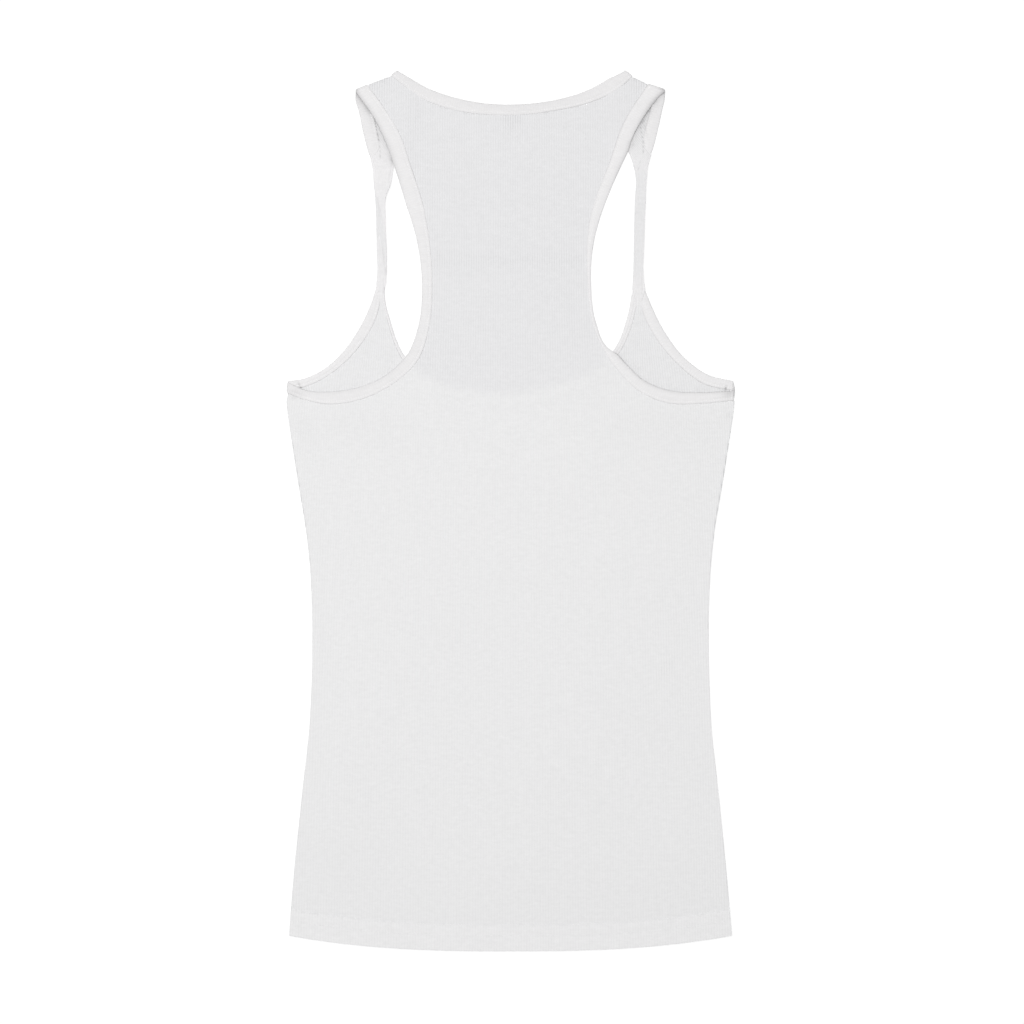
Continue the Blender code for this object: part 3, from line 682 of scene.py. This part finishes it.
def back_furrow(place, above, depth):
    """How far the back's ribs open, painted as shade in their furrows: at the shoulders, where it
    is single, and in patches.
    """
    seams = [nearest(place, np.array(ends))[0] for ends in (SHOULDER_LEFT, SHOULDER_RIGHT)]
    x, y = place.T
    level, half, opened, reach = RACER_LINE
    crease = opened * bell(y - level, half) * (np.abs(x) < reach)
    middle, top, wide, high, strength = NECK_RIBS
    patch = strength * np.exp(-(((x - middle) / wide) ** 6)) * bell(y - top, high)
    alone = SINGLE_FURROW * single(place, above, depth)
    shoulders = np.exp(-np.minimum(*seams) / FURROW_REACH)
    return shoulders + alone + crease + patch + spots(place, RIB_SPOTS)


def back_bound(place, above, depth):
    """Share of the binding's colour that the hem takes."""
    return HEM_BOUND * (above < HEM_DEPTH)


def back_shade(place, above, depth):
    """Painted shade: the spots, the single cloth above the hem, a line by the hem's upper seam."""
    fade = np.exp(-np.maximum(above - HEM_TONE_TOP, 0) / HEM_TONE_FADE)
    hem = HEM_TONE * ramp(above, HEM_DEPTH - 1, HEM_DEPTH) * fade
    step = HEM_STEP_SHADE * bell(above - STEP_AT, np.where(above < STEP_AT, *STEP_WIDTHS))
    return both(spots(place, BACK_SHADE_SPOTS), hem + step)


def front_single(place, above, depth):
    """The front's share of the single cloth's colour, larger at the right strap."""
    right = (place[:, 0] > 0) * (1 - ramp(place[:, 1], *RIGHT_SINGLE_Y))
    return FRONT_SINGLE + RIGHT_SINGLE * right


# Painted shade on the front: the shade cast by the back, and the dark spots
def front_shade(place, above, depth):
    return both(cast_shade(place), spots(place, FRONT_SHADE_SPOTS))


def front_furrow(place, above, depth):
    """Painted shade in the front's furrows, as far as its ribs open: more in the straps' tops."""
    x, y = place.T
    rise = ramp(y, *FRONT_FURROW_Y)
    low, more = (np.where(x > 0, *sides) for sides in zip(FURROW_RIGHT, FURROW_LEFT))
    return low + rise * more


def front_bound(place, above, depth):
    """Share of the binding's colour that a strap takes, none between the left strap's creases."""
    level = twist_level(place)
    (upper, *_), (lower, *_) = TWISTS
    between = ramp(level, lower - 1, lower + 1) * (1 - ramp(level, upper - 1, upper + 1))
    return strap(place, BOUND) * np.where(place[:, 0] < 0, 1 - between, 1)


# Shapes of the panels


def front_warp(x, y):
    """The ribs' places: drawn together into each strap, and leaning over in the straps' tops."""
    for middle in (-GATHER_X, GATHER_X):
        off = x - middle
        x = x - GATHER * ramp(y, *GATHER_Y) * off * bell(off, GATHER_WIDTH)
    leaning = ramp(y, *LEAN_Y)
    middle = LEAN_X * (2 * ramp(x, -LEAN_SIDES, LEAN_SIDES) - 1)
    return middle + (x - middle) * (1 + LEAN_SPREAD * leaning) - LEAN * (y - LEAN_BASE) * leaning


def front_under(place, above, depth):
    """The strap's height, pressed in along the slanting creases where it has twisted."""
    x, level = place[:, 0], twist_level(place)
    crease = sum(
        bell(level - at, TWIST_WIDTH)
        * ramp(x, low - 0.5, low + 0.5)
        * (1 - ramp(x, high - 1, high + 1))
        for at, low, high in TWISTS
    )
    return np.maximum(strap(place, RAISED) - TWIST_DEPTH * crease * (x < 0), 0)


def back_under(place, above, depth):
    """The lift, more of it where the hem is thick, and sine waves that slant over the cloth."""
    x, y = place.T
    waves = WAVE_BASE + sum(
        height * np.sin((a * x + b * y) / length + start + bend * np.sin(y / WAVE_BEND))
        for height, a, b, length, start, bend in WAVES
    )
    waves = waves * ramp(depth, *WAVE_IN) * ramp(above, *WAVE_UP)
    return soft_lift(place) + hem_thickness(above) - CLOTH + waves


# Meshes

# Parts of a grid cell inside the outline, by which of its corners are inside: 1, 2, 4 and 8 for
# the lower left, lower right, upper right and upper left. Slots 0 to 3 are these corners and 4 to 7
# the cuts on the lower, right, upper and left sides.
CELLS = {
    1: [(0, 4, 7)],
    2: [(1, 5, 4)],
    3: [(0, 1, 5, 7)],
    4: [(2, 6, 5)],
    5: [(0, 4, 7), (2, 6, 5)],
    6: [(1, 2, 6, 4)],
    7: [(0, 1, 2, 6, 7)],
    8: [(3, 7, 6)],
    9: [(0, 4, 6, 3)],
    10: [(1, 5, 4), (3, 7, 6)],
    11: [(0, 1, 5, 6, 3)],
    12: [(2, 3, 7, 5)],
    13: [(0, 4, 5, 2, 3)],
    14: [(1, 2, 3, 7, 4)],
    15: [(0, 1, 2, 3)],
}


def clipped(values, inside):
    """The part of a grid where inside is above 0: values at its points, its faces and its rim.

    A grid edge that crosses the outline is cut in proportion to the two ends' distances from it.
    The rim is pairs of points, each with the sheet on its left.
    """
    rows, columns = inside.shape
    number = np.arange(rows * columns).reshape(rows, columns)
    flat, distance = values.reshape(rows * columns, -1), inside.ravel()
    points, total, cuts = [flat], rows * columns, []
    for a, b in ((number[:, :-1], number[:, 1:]), (number[:-1], number[1:])):
        crossed = (distance[a] > 0) != (distance[b] > 0)
        start, end = a[crossed], b[crossed]
        t = (distance[start] / (distance[start] - distance[end]))[:, None]
        points.append(flat[start] * (1 - t) + flat[end] * t)
        cut = np.full(a.shape, -1)
        cut[crossed] = total + np.arange(len(start))
        total += len(start)
        cuts.append(cut)
    across, up = cuts
    corners = [number[:-1, :-1], number[:-1, 1:], number[1:, 1:], number[1:, :-1]]
    slots = np.stack(corners + [across[:-1], up[:, 1:], across[1:], up[:, :-1]], axis=-1)
    slots = slots.reshape(-1, 8)
    code = ((distance[slots[:, :4]] > 0) * (1, 2, 4, 8)).sum(axis=1)
    faces, rim = [], []
    for which, parts in CELLS.items():
        cells = slots[code == which]
        for part in parts:
            faces.append(cells[:, part])
            for i, j in zip(part, part[1:] + part[:1]):
                if i > 3 and j > 3:
                    rim.append(cells[:, (i, j)])
    rim = np.concatenate(rim)
    used = np.unique(np.concatenate([f.ravel() for f in faces]))
    lookup = np.zeros(total, int)
    lookup[used] = np.arange(len(used))
    return np.concatenate(points)[used], [lookup[f] for f in faces if len(f)], lookup[rim]


def add_mesh(name, points, faces, knit, masks, material, names, flat=0):
    """A mesh from points in millimetres and arrays of faces, with its knit map and its masks.

    It is smooth but for the last few faces, as many as flat says. The names are its slot, which is
    not used, and the nodes that it replaces.
    """
    data = bpy.data.meshes.new(name)
    data.from_pydata((points * MM).tolist(), [], [f for group in faces for f in group.tolist()])
    corner = np.empty(len(data.loops), np.int32)
    data.loops.foreach_get("vertex_index", corner)
    uv = data.uv_layers.new(name="knit").uv
    uv.foreach_set("vector", knit[corner].astype(np.float32).ravel())
    for mask, value in masks.items():
        values = data.attributes.new(mask, "FLOAT", "POINT").data
        values.foreach_set("value", value.astype(np.float32))
    count = len(data.polygons)
    data.polygons.foreach_set("use_smooth", np.arange(count) < count - flat)
    data.update()
    piece = bpy.data.objects.new(name, data)
    bpy.context.scene.collection.objects.link(piece)
    data.materials.append(material)
    slot, nodes = names
    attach(piece, "root")
    if nodes:
        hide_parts(*nodes)
    return piece


def knit_panel(name, outline, rows, warp, under, masks, names):
    """A sheet of rib knit cut to its outline.

    Columns run along the ribs and rows across them, the lowest of them along the hem's curve. Each
    point's underside is given; its top is the cloth's thickness and the rib's height above that,
    drawn in along the hem's seams, beside a tape and at a free edge.
    """
    edge, roll, share, tucked = (np.array(column) for column in zip(*outline))
    rows = np.concatenate([HEM_Y + np.array(HEM_ROWS)] + [np.arange(*part) for part in rows])
    across = np.add.outer(np.arange(-HALF_RIBS, HALF_RIBS), RIB_ACROSS).ravel()
    rib = np.tile(RIB_HEIGHT, 2 * HALF_RIBS)
    u, y = np.meshgrid(across, rows)
    x = warp(u * RIB_PITCH * table(RIB_SPREAD, y), y)
    follow = 1 - ramp(y, HEM_Y + HEM_ROWS[-1], HEM_FADE_Y)
    place = np.stack([x, y + follow * hem_curve(x)], axis=-1)
    inside, run = within(place.reshape(-1, 2), edge)
    depth = np.where(np.abs(inside) < ON_EDGE, ON_EDGE, inside).reshape(u.shape)
    near = np.stack([roll[run], share[run], tucked[run]], axis=1).reshape(*u.shape, 3)
    knit = np.stack([u, y / LOOP_PITCH, np.broadcast_to(rib, u.shape)], axis=-1)
    values = np.concatenate([place, knit, near, np.maximum(depth, 0)[..., None]], axis=-1)
    found, faces, rim = clipped(values, depth)
    place, knit, (rib, roll, share, tucked, depth) = found[:, :2], found[:, 2:4], found[:, 4:].T
    depth[rim] = 0
    above = place[:, 1] - HEM_Y - hem_curve(place[:, 0])
    rounded = np.sqrt(1 - (1 - np.clip(depth / roll, 0, 1)) ** 2)
    drawn = np.where(tucked > 0.5, ramp(depth - TUCK, 0, roll), rounded)
    pull = sum(deep * bell(above - at, SEAM_WIDTH) for at, deep in zip(SEAM_ROWS, SEAM_PULL))
    height = (hem_thickness(above) + RIB_DEPTH * rib) * (share + (1 - share) * drawn)
    height -= pull * rounded
    low = under(place, above, depth)
    count = len(found)
    points = np.concatenate([np.column_stack([place, low + height]), np.column_stack([place, low])])
    a, b = rim.T
    wall = np.stack([a, a + count, b + count, b], axis=1)
    shell = faces + [f[:, ::-1] + count for f in faces] + [wall]
    marks = {mask: np.tile(value(place, above, depth), 2) for mask, value in masks.items()}
    return add_mesh(name, points, shell, np.tile(knit, (2, 1)), marks, RIB_KNIT, names, len(rim))


def tape_section(half, up):
    """Corners of a tape's section: across it, and up from its middle.

    A groove on either face holds the stitches, the face that lies upwards is crowned on part of a
    sine, and the outer edge is a quarter of an ellipse above and a smaller one below.
    """
    s = full(half)
    start = -half + CROWN_START * s
    sides = []
    for sign, share in ((1, np.clip(up, 0, 1)), (-1, np.clip(-up, 0, 1))):
        roll = np.minimum(TAPE_FOOT + (TAPE_ROLL - TAPE_FOOT) * share, half * ROLL_MOST)
        span = half - roll - start
        arc = [np.sin(np.pi * (CROWN_ARC[0] + CROWN_ARC[1] * t)) for t in CROWN_AT]
        crown = [TAPE / 2 + TAPE_CROWN * s * share * rise for rise in arc]
        side = [(-half + a * s, sign * b) for a, b in SEAM_LIP]
        side += [(start + span * t, sign * height) for t, height in zip(CROWN_AT, crown)]
        for t in np.pi * np.array(ROLL_AT):
            side.append((half - roll + roll * np.cos(t), sign * crown[-1] * np.sin(t)))
        sides.append(side)
    corners = sides[0] + sides[1][::-1]
    return np.stack([np.stack(np.broadcast_arrays(a, b), axis=-1) for a, b in corners], axis=1)


def folded(before, after, up):
    """Half a turn of tape between two runs; up is 1 when the run before it is the upper one.

    Its middle goes round half a circle that stands on the line between the runs' ends.
    """
    start, start_out, start_half = (column[-1] for column in before)
    end, end_out, end_half = (column[0] for column in after)
    heading = before[0][-1][:2] - before[0][-2][:2]
    angle = np.linspace(0, np.pi, FOLD_SECTIONS + 2)[1:-1]
    part = (angle / np.pi)[:, None]
    out = unit(start_out * (1 - part) + end_out * part)
    over = np.stack([-out[:, 1], out[:, 0]], axis=1)
    over *= np.sign(over @ heading)[:, None]
    centre = start * (1 - part) + end * part
    middle, radius = (start[2] + end[2]) / 2, (start[2] - end[2]) / 2
    centre[:, :2] += over * abs(radius) * np.sin(angle)[:, None]
    centre[:, 2] = middle + radius * np.cos(angle)
    face = np.column_stack([over * np.sin(angle)[:, None], up * np.cos(angle)])
    half = (start_half * (1 - part) + end_half * part)[:, 0] * (1 - FOLD_NARROW * np.sin(angle))
    return centre, out, half, face


def binding(name, back, front, neck, names):
    """A closed loop of tape: along the back, over a fold, along the front and over another fold.

    Its section is carried along the loop, its cross ribs rising and falling on a cosine.
    """
    front = tuple(column[::-1] for column in front)

    def flat(run, up):
        return (*run, np.tile((0.0, 0.0, up), (len(run[0]), 1)))

    stretches = [
        flat(back, 1.0),
        folded(back, front, 1),
        flat(front, -1.0),
        folded(front, back, -1),
    ]
    centre, out, half, face = (np.concatenate(column) for column in zip(*stretches))
    up = face[:, 2]
    count = len(centre)
    step = np.arange(count)
    crest = 0.5 - 0.5 * np.cos(TURN * step / RIB_SECTIONS)
    corners = tape_section(half, up)
    size = corners.shape[1]
    upper = np.clip(corners[..., 1] * np.sign(up)[:, None] / (TAPE / 2), 0, 1)
    rise = np.sign(corners[..., 1]) * upper**TAPE_RIB_FALL
    corners[..., 1] += TAPE_RIB * (crest[:, None] - 0.5) * rise * full(half)[:, None]
    sideways = np.column_stack([out, np.zeros(count)])[:, None]
    points = centre[:, None] + corners[..., :1] * sideways + corners[..., 1:] * face[:, None]
    points = points.reshape(-1, 3)
    ring = np.arange(count * size).reshape(count, size)
    following = np.roll(ring, -1, axis=0)
    beside = [np.roll(loop, -1, axis=1) for loop in (ring, following)]
    shell = np.stack([ring, *beside, following], axis=-1).reshape(-1, 4)
    ribs = np.broadcast_to((step / RIB_SECTIONS)[:, None], ring.shape)
    knit = np.stack([ribs, corners[..., 0] / LOOP_PITCH], axis=-1).reshape(-1, 2)
    if volume(points, shell) < 0:
        shell = shell[:, ::-1]
    points[:, 2] = np.maximum(points[:, 2], 0)
    lower = np.concatenate([np.full(len(run[0]), k == 2) for k, run in enumerate(stretches)])
    low = np.repeat(lower, size)
    lip = np.zeros(size)
    lip[[0, 1, -2, -1]] = 1
    place = points[:, :2]
    # Painted shade on the tape: dark seam line, darker outer edge, spots and cast shade
    line = seam_line(centre[:, :2], step * TAPE_STEP, lower, neck)
    outer = outer_shade(centre, half, corners[..., 0], neck).ravel()
    above = both(spots(place, BACK_SHADE_SPOTS), outer)
    shade = both(np.where(low, front_shade(place, None, None), above), np.outer(line, lip).ravel())
    return add_mesh(name, points, [shell], knit, {"shade": shade}, RIB_TAPE, names)


def volume(points, quads):
    """Six times the signed volume inside the faces: positive when they point outwards."""
    a, b, c, d = (points[quads[:, i]] for i in range(4))
    return (np.cross(b - a, c - a) * a + np.cross(c - a, d - a) * a).sum()


def stitches(name, centre, along, material, names):
    """Short stitches lying on the cloth: a six-sided bead for each, drawn out along the seam."""
    angle = np.arange(STITCH_SIDES) * TURN / STITCH_SIDES
    bead = [(-1, 0, 0)]
    for place, radius in STITCH_RINGS:
        bead += [(place, radius * c, radius * s) for c, s in zip(np.cos(angle), np.sin(angle))]
    bead = np.array(bead + [(1, 0, 0)]) * STITCH
    along = unit(along)
    across = np.cross(UPWARDS, along)
    points = (
        centre[:, None]
        + bead[None, :, :1] * along[:, None]
        + bead[None, :, 1:2] * across[:, None]
        + bead[None, :, 2:] * UPWARDS
    )
    i = np.arange(STITCH_SIDES)
    j = (i + 1) % STITCH_SIDES
    first, second = 1, 1 + STITCH_SIDES
    ends = [
        np.stack([0 * i, first + j, first + i], axis=1),
        np.stack([0 * i + second + STITCH_SIDES, second + i, second + j], axis=1),
    ]
    band = np.stack([first + i, first + j, second + j, second + i], axis=1)
    offset = (np.arange(len(centre)) * len(bead))[:, None, None]
    faces = [(part + offset).reshape(-1, part.shape[1]) for part in (np.concatenate(ends), band)]
    knit = np.tile(bead[:, :2], (len(centre), 1))
    return add_mesh(name, points.reshape(-1, 3), faces, knit, {}, material, names)


def tape_stitches(name, runs):
    """A stitch for each cross rib, in the groove on the upper face of each run."""
    centre, along = [], []
    for middle, out, half in runs:
        line = middle.copy()
        line[:, :2] += out * (-half + STITCH_LINE * full(half))[:, None]
        line[:, 2] += TAPE / 2 * STITCH_BED + STITCH[2] * STITCH_RISE
        centre.append(line[1:-1:RIB_SECTIONS])
        along.append(np.gradient(line, axis=0)[1:-1:RIB_SECTIONS])
    names = ("rib_binding", [])
    return stitches(name, np.concatenate(centre), np.concatenate(along), THREAD, names)


def hem_stitches():
    """Two rows of stitches across the back, along the hem's seams and sunk into them."""
    across = np.arange(*HEM_STITCHES)
    centre = []
    for height, deep in zip(SEAM_ROWS, SEAM_PULL):
        place = np.stack([across, HEM_Y + height + hem_curve(across)], axis=1)
        low = back_under(place, np.full(len(place), height), np.full(len(place), np.inf))
        top = low + hem_thickness(height) + RIB_DEPTH - deep
        centre.append(np.column_stack([place, top - STITCH[2] * STITCH_SINK]))
    along = np.concatenate([np.gradient(line, axis=0) for line in centre])
    return stitches("hem_stitches", np.concatenate(centre), along, HEM_THREAD, ("rib_knit", []))


# Materials


def new_node(tree, kind, values=None, **settings):
    """A shader node with its settings, and its sockets set to values or linked to sockets."""
    node = tree.nodes.new("ShaderNode" + kind)
    for key, value in settings.items():
        setattr(node, key, value)
    for key, value in (values or {}).items():
        if isinstance(value, bpy.types.NodeSocket):
            tree.links.new(value, node.inputs[key])
        else:
            node.inputs[key].default_value = value
    return node


def maths(tree, operation, *values):
    return new_node(tree, "Math", dict(enumerate(values)), operation=operation).outputs[0]


def vector_maths(tree, operation, values):
    return new_node(tree, "VectorMath", values, operation=operation).outputs[0]


def mask_value(tree, name):
    return new_node(tree, "Attribute", attribute_name=name).outputs["Fac"]


def new_group(name, inputs, outputs):
    """An empty node group with its sockets, given as names and types, and its two end nodes."""
    group = bpy.data.node_groups.new(name, "ShaderNodeTree")
    for in_out, sockets in (("INPUT", inputs), ("OUTPUT", outputs)):
        for socket, kind in sockets.items():
            group.interface.new_socket(socket, in_out=in_out, socket_type="NodeSocket" + kind)
    return group, group.nodes.new("NodeGroupInput").outputs, group.nodes.new("NodeGroupOutput")


def knit_loops():
    """Node group: V-shaped loops standing in columns, from the map's ribs (x) and loops (y).

    Height is high along the middle of each rib and dips between one loop and the next. Groove is 1
    in the furrow between ribs and fades softly out of it; Line is the same drawn narrower. Both
    are broken up from loop to loop, and they mask the painted shade of the furrows.
    """
    outputs = {"Height": "Float", "Groove": "Float", "Line": "Float"}
    group, source, target = new_group("Knit loops", {"Map": "Vector"}, outputs)
    rib, loop, _ = new_node(group, "SeparateXYZ", {0: source["Map"]}).outputs
    off = maths(group, "ABSOLUTE", maths(group, "SUBTRACT", maths(group, "FRACT", rib), 0.5))
    slant = maths(group, "MULTIPLY_ADD", off, LOOP_SLANT, loop)
    wave = maths(group, "SINE", maths(group, "MULTIPLY", slant, TURN))
    body = maths(group, "COSINE", maths(group, "MULTIPLY", off, TURN))
    height = maths(group, "MULTIPLY_ADD", wave, LOOP_WAVE, body)
    group.links.new(height, target.inputs["Height"])
    furrow = maths(group, "SMOOTH_MIN", 1.0, maths(group, "MULTIPLY", off, 2.0), FURROW_SOFT)
    broken = new_node(group, "TexNoise", {"Vector": source["Map"], **FURROW_BREAKS}).outputs[0]
    strength = new_node(group, "MapRange", {"Value": broken, **FURROW_RANGE}).outputs[0]
    for output, power in FURROW_POWERS:
        narrow = maths(group, "POWER", furrow, power)
        group.links.new(maths(group, "MULTIPLY", narrow, strength), target.inputs[output])
    return group


def yarn_fleck():
    """Node group: a value about 1, varying from yarn to yarn and, more softly, over the cloth."""
    inputs = {name: "Float" for name, *_ in FLECKS}
    group, source, target = new_group("Yarn fleck", inputs, {"Tone": "Float"})
    place = new_node(group, "TexCoord").outputs["Object"]
    place = vector_maths(group, "MULTIPLY", {0: place, 1: FLECK_STRETCH})
    tone = 1.0
    for name, scale, detail in FLECKS:
        values = {"Vector": place, "Scale": scale, "Detail": detail, "Roughness": FLECK_ROUGH}
        noise = new_node(group, "TexNoise", values).outputs[0]
        swing = maths(group, "MULTIPLY", maths(group, "SUBTRACT", noise, 0.5), 2.0)
        tone = maths(group, "MULTIPLY_ADD", swing, source[name], tone)
    group.links.new(tone, target.inputs["Tone"])
    return group


def cotton(
    name, colour, fine, broad=0.0, groove=0.0, bump=KNIT_BUMP, roughness=0.92, sheen=0.03, tints=()
):
    """Cotton: a colour times the yarn's fleck, shade painted in the furrows, bumped by its loops.

    Each tint is a mask's name and the colour that the cloth is multiplied by where the mask is 1.
    """
    material = bpy.data.materials.new(name)
    material.use_nodes = True
    tree = material.node_tree
    shader = tree.nodes["Principled BSDF"]
    knit = new_node(tree, "UVMap", uv_map="knit").outputs[0]
    loops = new_node(tree, "Group", {"Map": knit}, node_tree=LOOPS).outputs
    fleck = new_node(tree, "Group", {"Fine": fine, "Broad": broad}, node_tree=FLECK)
    # The furrows' painted shade: a little all over, more where the ribs open or shade is painted
    opened = maths(tree, "MAXIMUM", mask_value(tree, "furrow"), mask_value(tree, "shade"))
    opened = maths(tree, "MULTIPLY", opened, -FURROW_DARK)
    dark = maths(tree, "MULTIPLY_ADD", loops["Line"], opened, 1.0)
    dark = maths(tree, "MULTIPLY_ADD", loops["Groove"], -groove, dark)
    tone = maths(tree, "MULTIPLY", fleck.outputs[0], dark)
    cloth = vector_maths(tree, "SCALE", {0: colour, "Scale": tone})
    for which, tint in tints:
        fall = {0: tuple(part - 1 for part in tint), "Scale": mask_value(tree, which)}
        factor = vector_maths(tree, "ADD", {0: vector_maths(tree, "SCALE", fall), 1: (1, 1, 1)})
        cloth = vector_maths(tree, "MULTIPLY", {0: cloth, 1: factor})
    tree.links.new(cloth, shader.inputs["Base Color"])
    bumped = new_node(tree, "Bump", {"Strength": 1.0, "Distance": bump, "Height": loops["Height"]})
    tree.links.new(bumped.outputs[0], shader.inputs["Normal"])
    shader.inputs["Roughness"].default_value = roughness
    shader.inputs["Specular IOR Level"].default_value = SPECULAR
    shader.inputs["Sheen Weight"].default_value = sheen
    shader.inputs["Sheen Roughness"].default_value = SHEEN_ROUGH
    return material


def floor_material():
    """Matt white card that gives off a little light, so that no shade is left round the cloth."""
    material = bpy.data.materials.new("white_card")
    material.use_nodes = True
    tree = material.node_tree
    shader = tree.nodes["Principled BSDF"]
    place = new_node(tree, "TexCoord").outputs["Object"]
    grain = new_node(tree, "TexNoise", {"Vector": place, "Scale": CARD_GRAIN}).outputs[0]
    bump = new_node(tree, "Bump", {"Strength": 0.2, "Distance": 0.0002, "Height": grain})
    tree.links.new(bump.outputs[0], shader.inputs["Normal"])
    shader.inputs["Base Color"].default_value = CARD_GREY
    shader.inputs["Roughness"].default_value = 1.0
    shader.inputs["Specular IOR Level"].default_value = 0.0
    shader.inputs["Emission Color"].default_value = WHITE
    shader.inputs["Emission Strength"].default_value = CARD_GLOW
    return material


LOOPS = knit_loops()
FLECK = yarn_fleck()
RIB_KNIT = cotton(
    "rib_knit_cotton",
    (0.7912, 0.7892, 0.7932),
    fine=0.058,
    broad=0.007,
    groove=0.04,
    tints=(("single", SINGLE_TINT), ("shade", SHADED), ("bound", BOUND_TINT)),
)
RIB_TAPE = cotton(
    "rib_tape_cotton",
    (0.796, 0.7875, 0.792),
    fine=0.05,
    broad=0.007,
    groove=0.022,
    tints=(("shade", SHADED),),
)
THREAD = cotton(
    "sewing_thread", (0.865, 0.855, 0.86), fine=0.05, bump=THREAD_BUMP, roughness=0.7, sheen=0.3
)
HEM_THREAD = cotton("hem_thread", (0.815, 0.813, 0.817), fine=0.05, bump=THREAD_BUMP)


# Garment


def run(points, roll, share, tucked):
    """Part of an outline: its points with the width of its roll, its thickness and its tuck."""
    share = np.broadcast_to(share, len(points))
    return [(point, roll, part, tucked) for point, part in zip(np.asarray(points, float), share)]


def outline(edges, seam_share, shoulder_share):
    """A panel's cut edge from the hem round; the shares are of its thickness at these edges."""
    neck, left, right = (run(edge, SEAM_ROLL, seam_share(edge), 1) for edge in edges)
    return (
        run(hem_edge(), EDGE_ROLL, EDGE_THICK, 0)
        + run(side_edge(2), EDGE_ROLL, EDGE_THICK, 0)
        + right[::-1]
        + run(SHOULDER_RIGHT, SHOULDER_ROLL, shoulder_share, 0)
        + neck[::-1]
        + run(SHOULDER_LEFT[::-1], SHOULDER_ROLL, shoulder_share, 0)
        + left
        + run(side_edge(1)[::-1], EDGE_ROLL, EDGE_THICK, 0)
    )


def declare(edge):
    """Turns a panel's cut edge into points in metres, and does nothing more with them."""
    edge = np.array([point for point, *_ in edge]) * MM


def garment():
    """Both panels, then each tape with its stitching, and the hem's stitching."""
    front_edge = outline(
        [front_cut(rows, -side, folds) for _, _, side, _, rows, folds in BINDINGS],
        lambda points: strap(points, KEPT),
        TURNINGS_THICK,
    )
    back_edge = outline(
        [back_cut(rows, side, folds) for _, _, side, rows, _, folds in BINDINGS],
        lambda points: SEAM_THICK,
        EDGE_THICK,
    )
    front = knit_panel(
        "front",
        front_edge,
        FRONT_ROWS,
        front_warp,
        front_under,
        {
            "single": front_single,
            "shade": front_shade,
            "furrow": front_furrow,
            "bound": front_bound,
        },
        ("rib_knit", ["front_panel"]),
    )
    back = knit_panel(
        "back",
        back_edge,
        BACK_ROWS,
        lambda x, y: x,
        back_under,
        {"single": single, "shade": back_shade, "furrow": back_furrow, "bound": back_bound},
        ("rib_knit", ["back_panel"]),
    )
    for name, node, side, rows_back, rows_front, folds in BINDINGS:
        above = back_tape(rows_back, side, folds)
        below = front_tape(rows_front, -side, folds)
        tape = binding(name, above, below, name == "neck_tape", ("rib_binding", [node]))
        sewing = tape_stitches(name + "_stitches", (above, below))
    hem = hem_stitches()

    declare(front_edge)
    declare(back_edge)


def studio():
    """White card under the garment, even light all round, a large soft light, and the camera."""
    scene = bpy.context.scene
    data = bpy.data.meshes.new("floor")
    corners = [(CARD_HALF * x, CARD_HALF * y, 0) for x, y in ((-1, -1), (1, -1), (1, 1), (-1, 1))]
    data.from_pydata(corners, [], [(0, 1, 2, 3)])
    data.materials.append(floor_material())
    floor = bpy.data.objects.new("floor", data)
    scene.collection.objects.link(floor)
    world = bpy.data.worlds.new("studio")
    world.use_nodes = True
    background = world.node_tree.nodes["Background"]
    background.inputs["Color"].default_value = WHITE
    background.inputs["Strength"].default_value = WORLD_LIGHT
    scene.world = world
    light = bpy.data.lights.new("soft_box", "AREA")
    light.shape = "RECTANGLE"
    light.size, light.size_y = SOFT_BOX, SOFT_BOX
    light.energy = KEY_LIGHT
    box = bpy.data.objects.new("soft_box", light)
    box.location = SOFT_BOX_AT
    box.rotation_euler = (-Vector(box.location)).to_track_quat("-Z", "Y").to_euler()
    scene.collection.objects.link(box)
    camera = bpy.data.cameras.new("camera")
    camera.lens, camera.sensor_width = LENS, SENSOR
    view = bpy.data.objects.new("camera", camera)
    view.location = CAMERA_AT
    scene.collection.objects.link(view)
    scene.camera = view
    scene.view_settings.view_transform = "Standard"


studio()
garment()
bpy.context.view_layer.update()
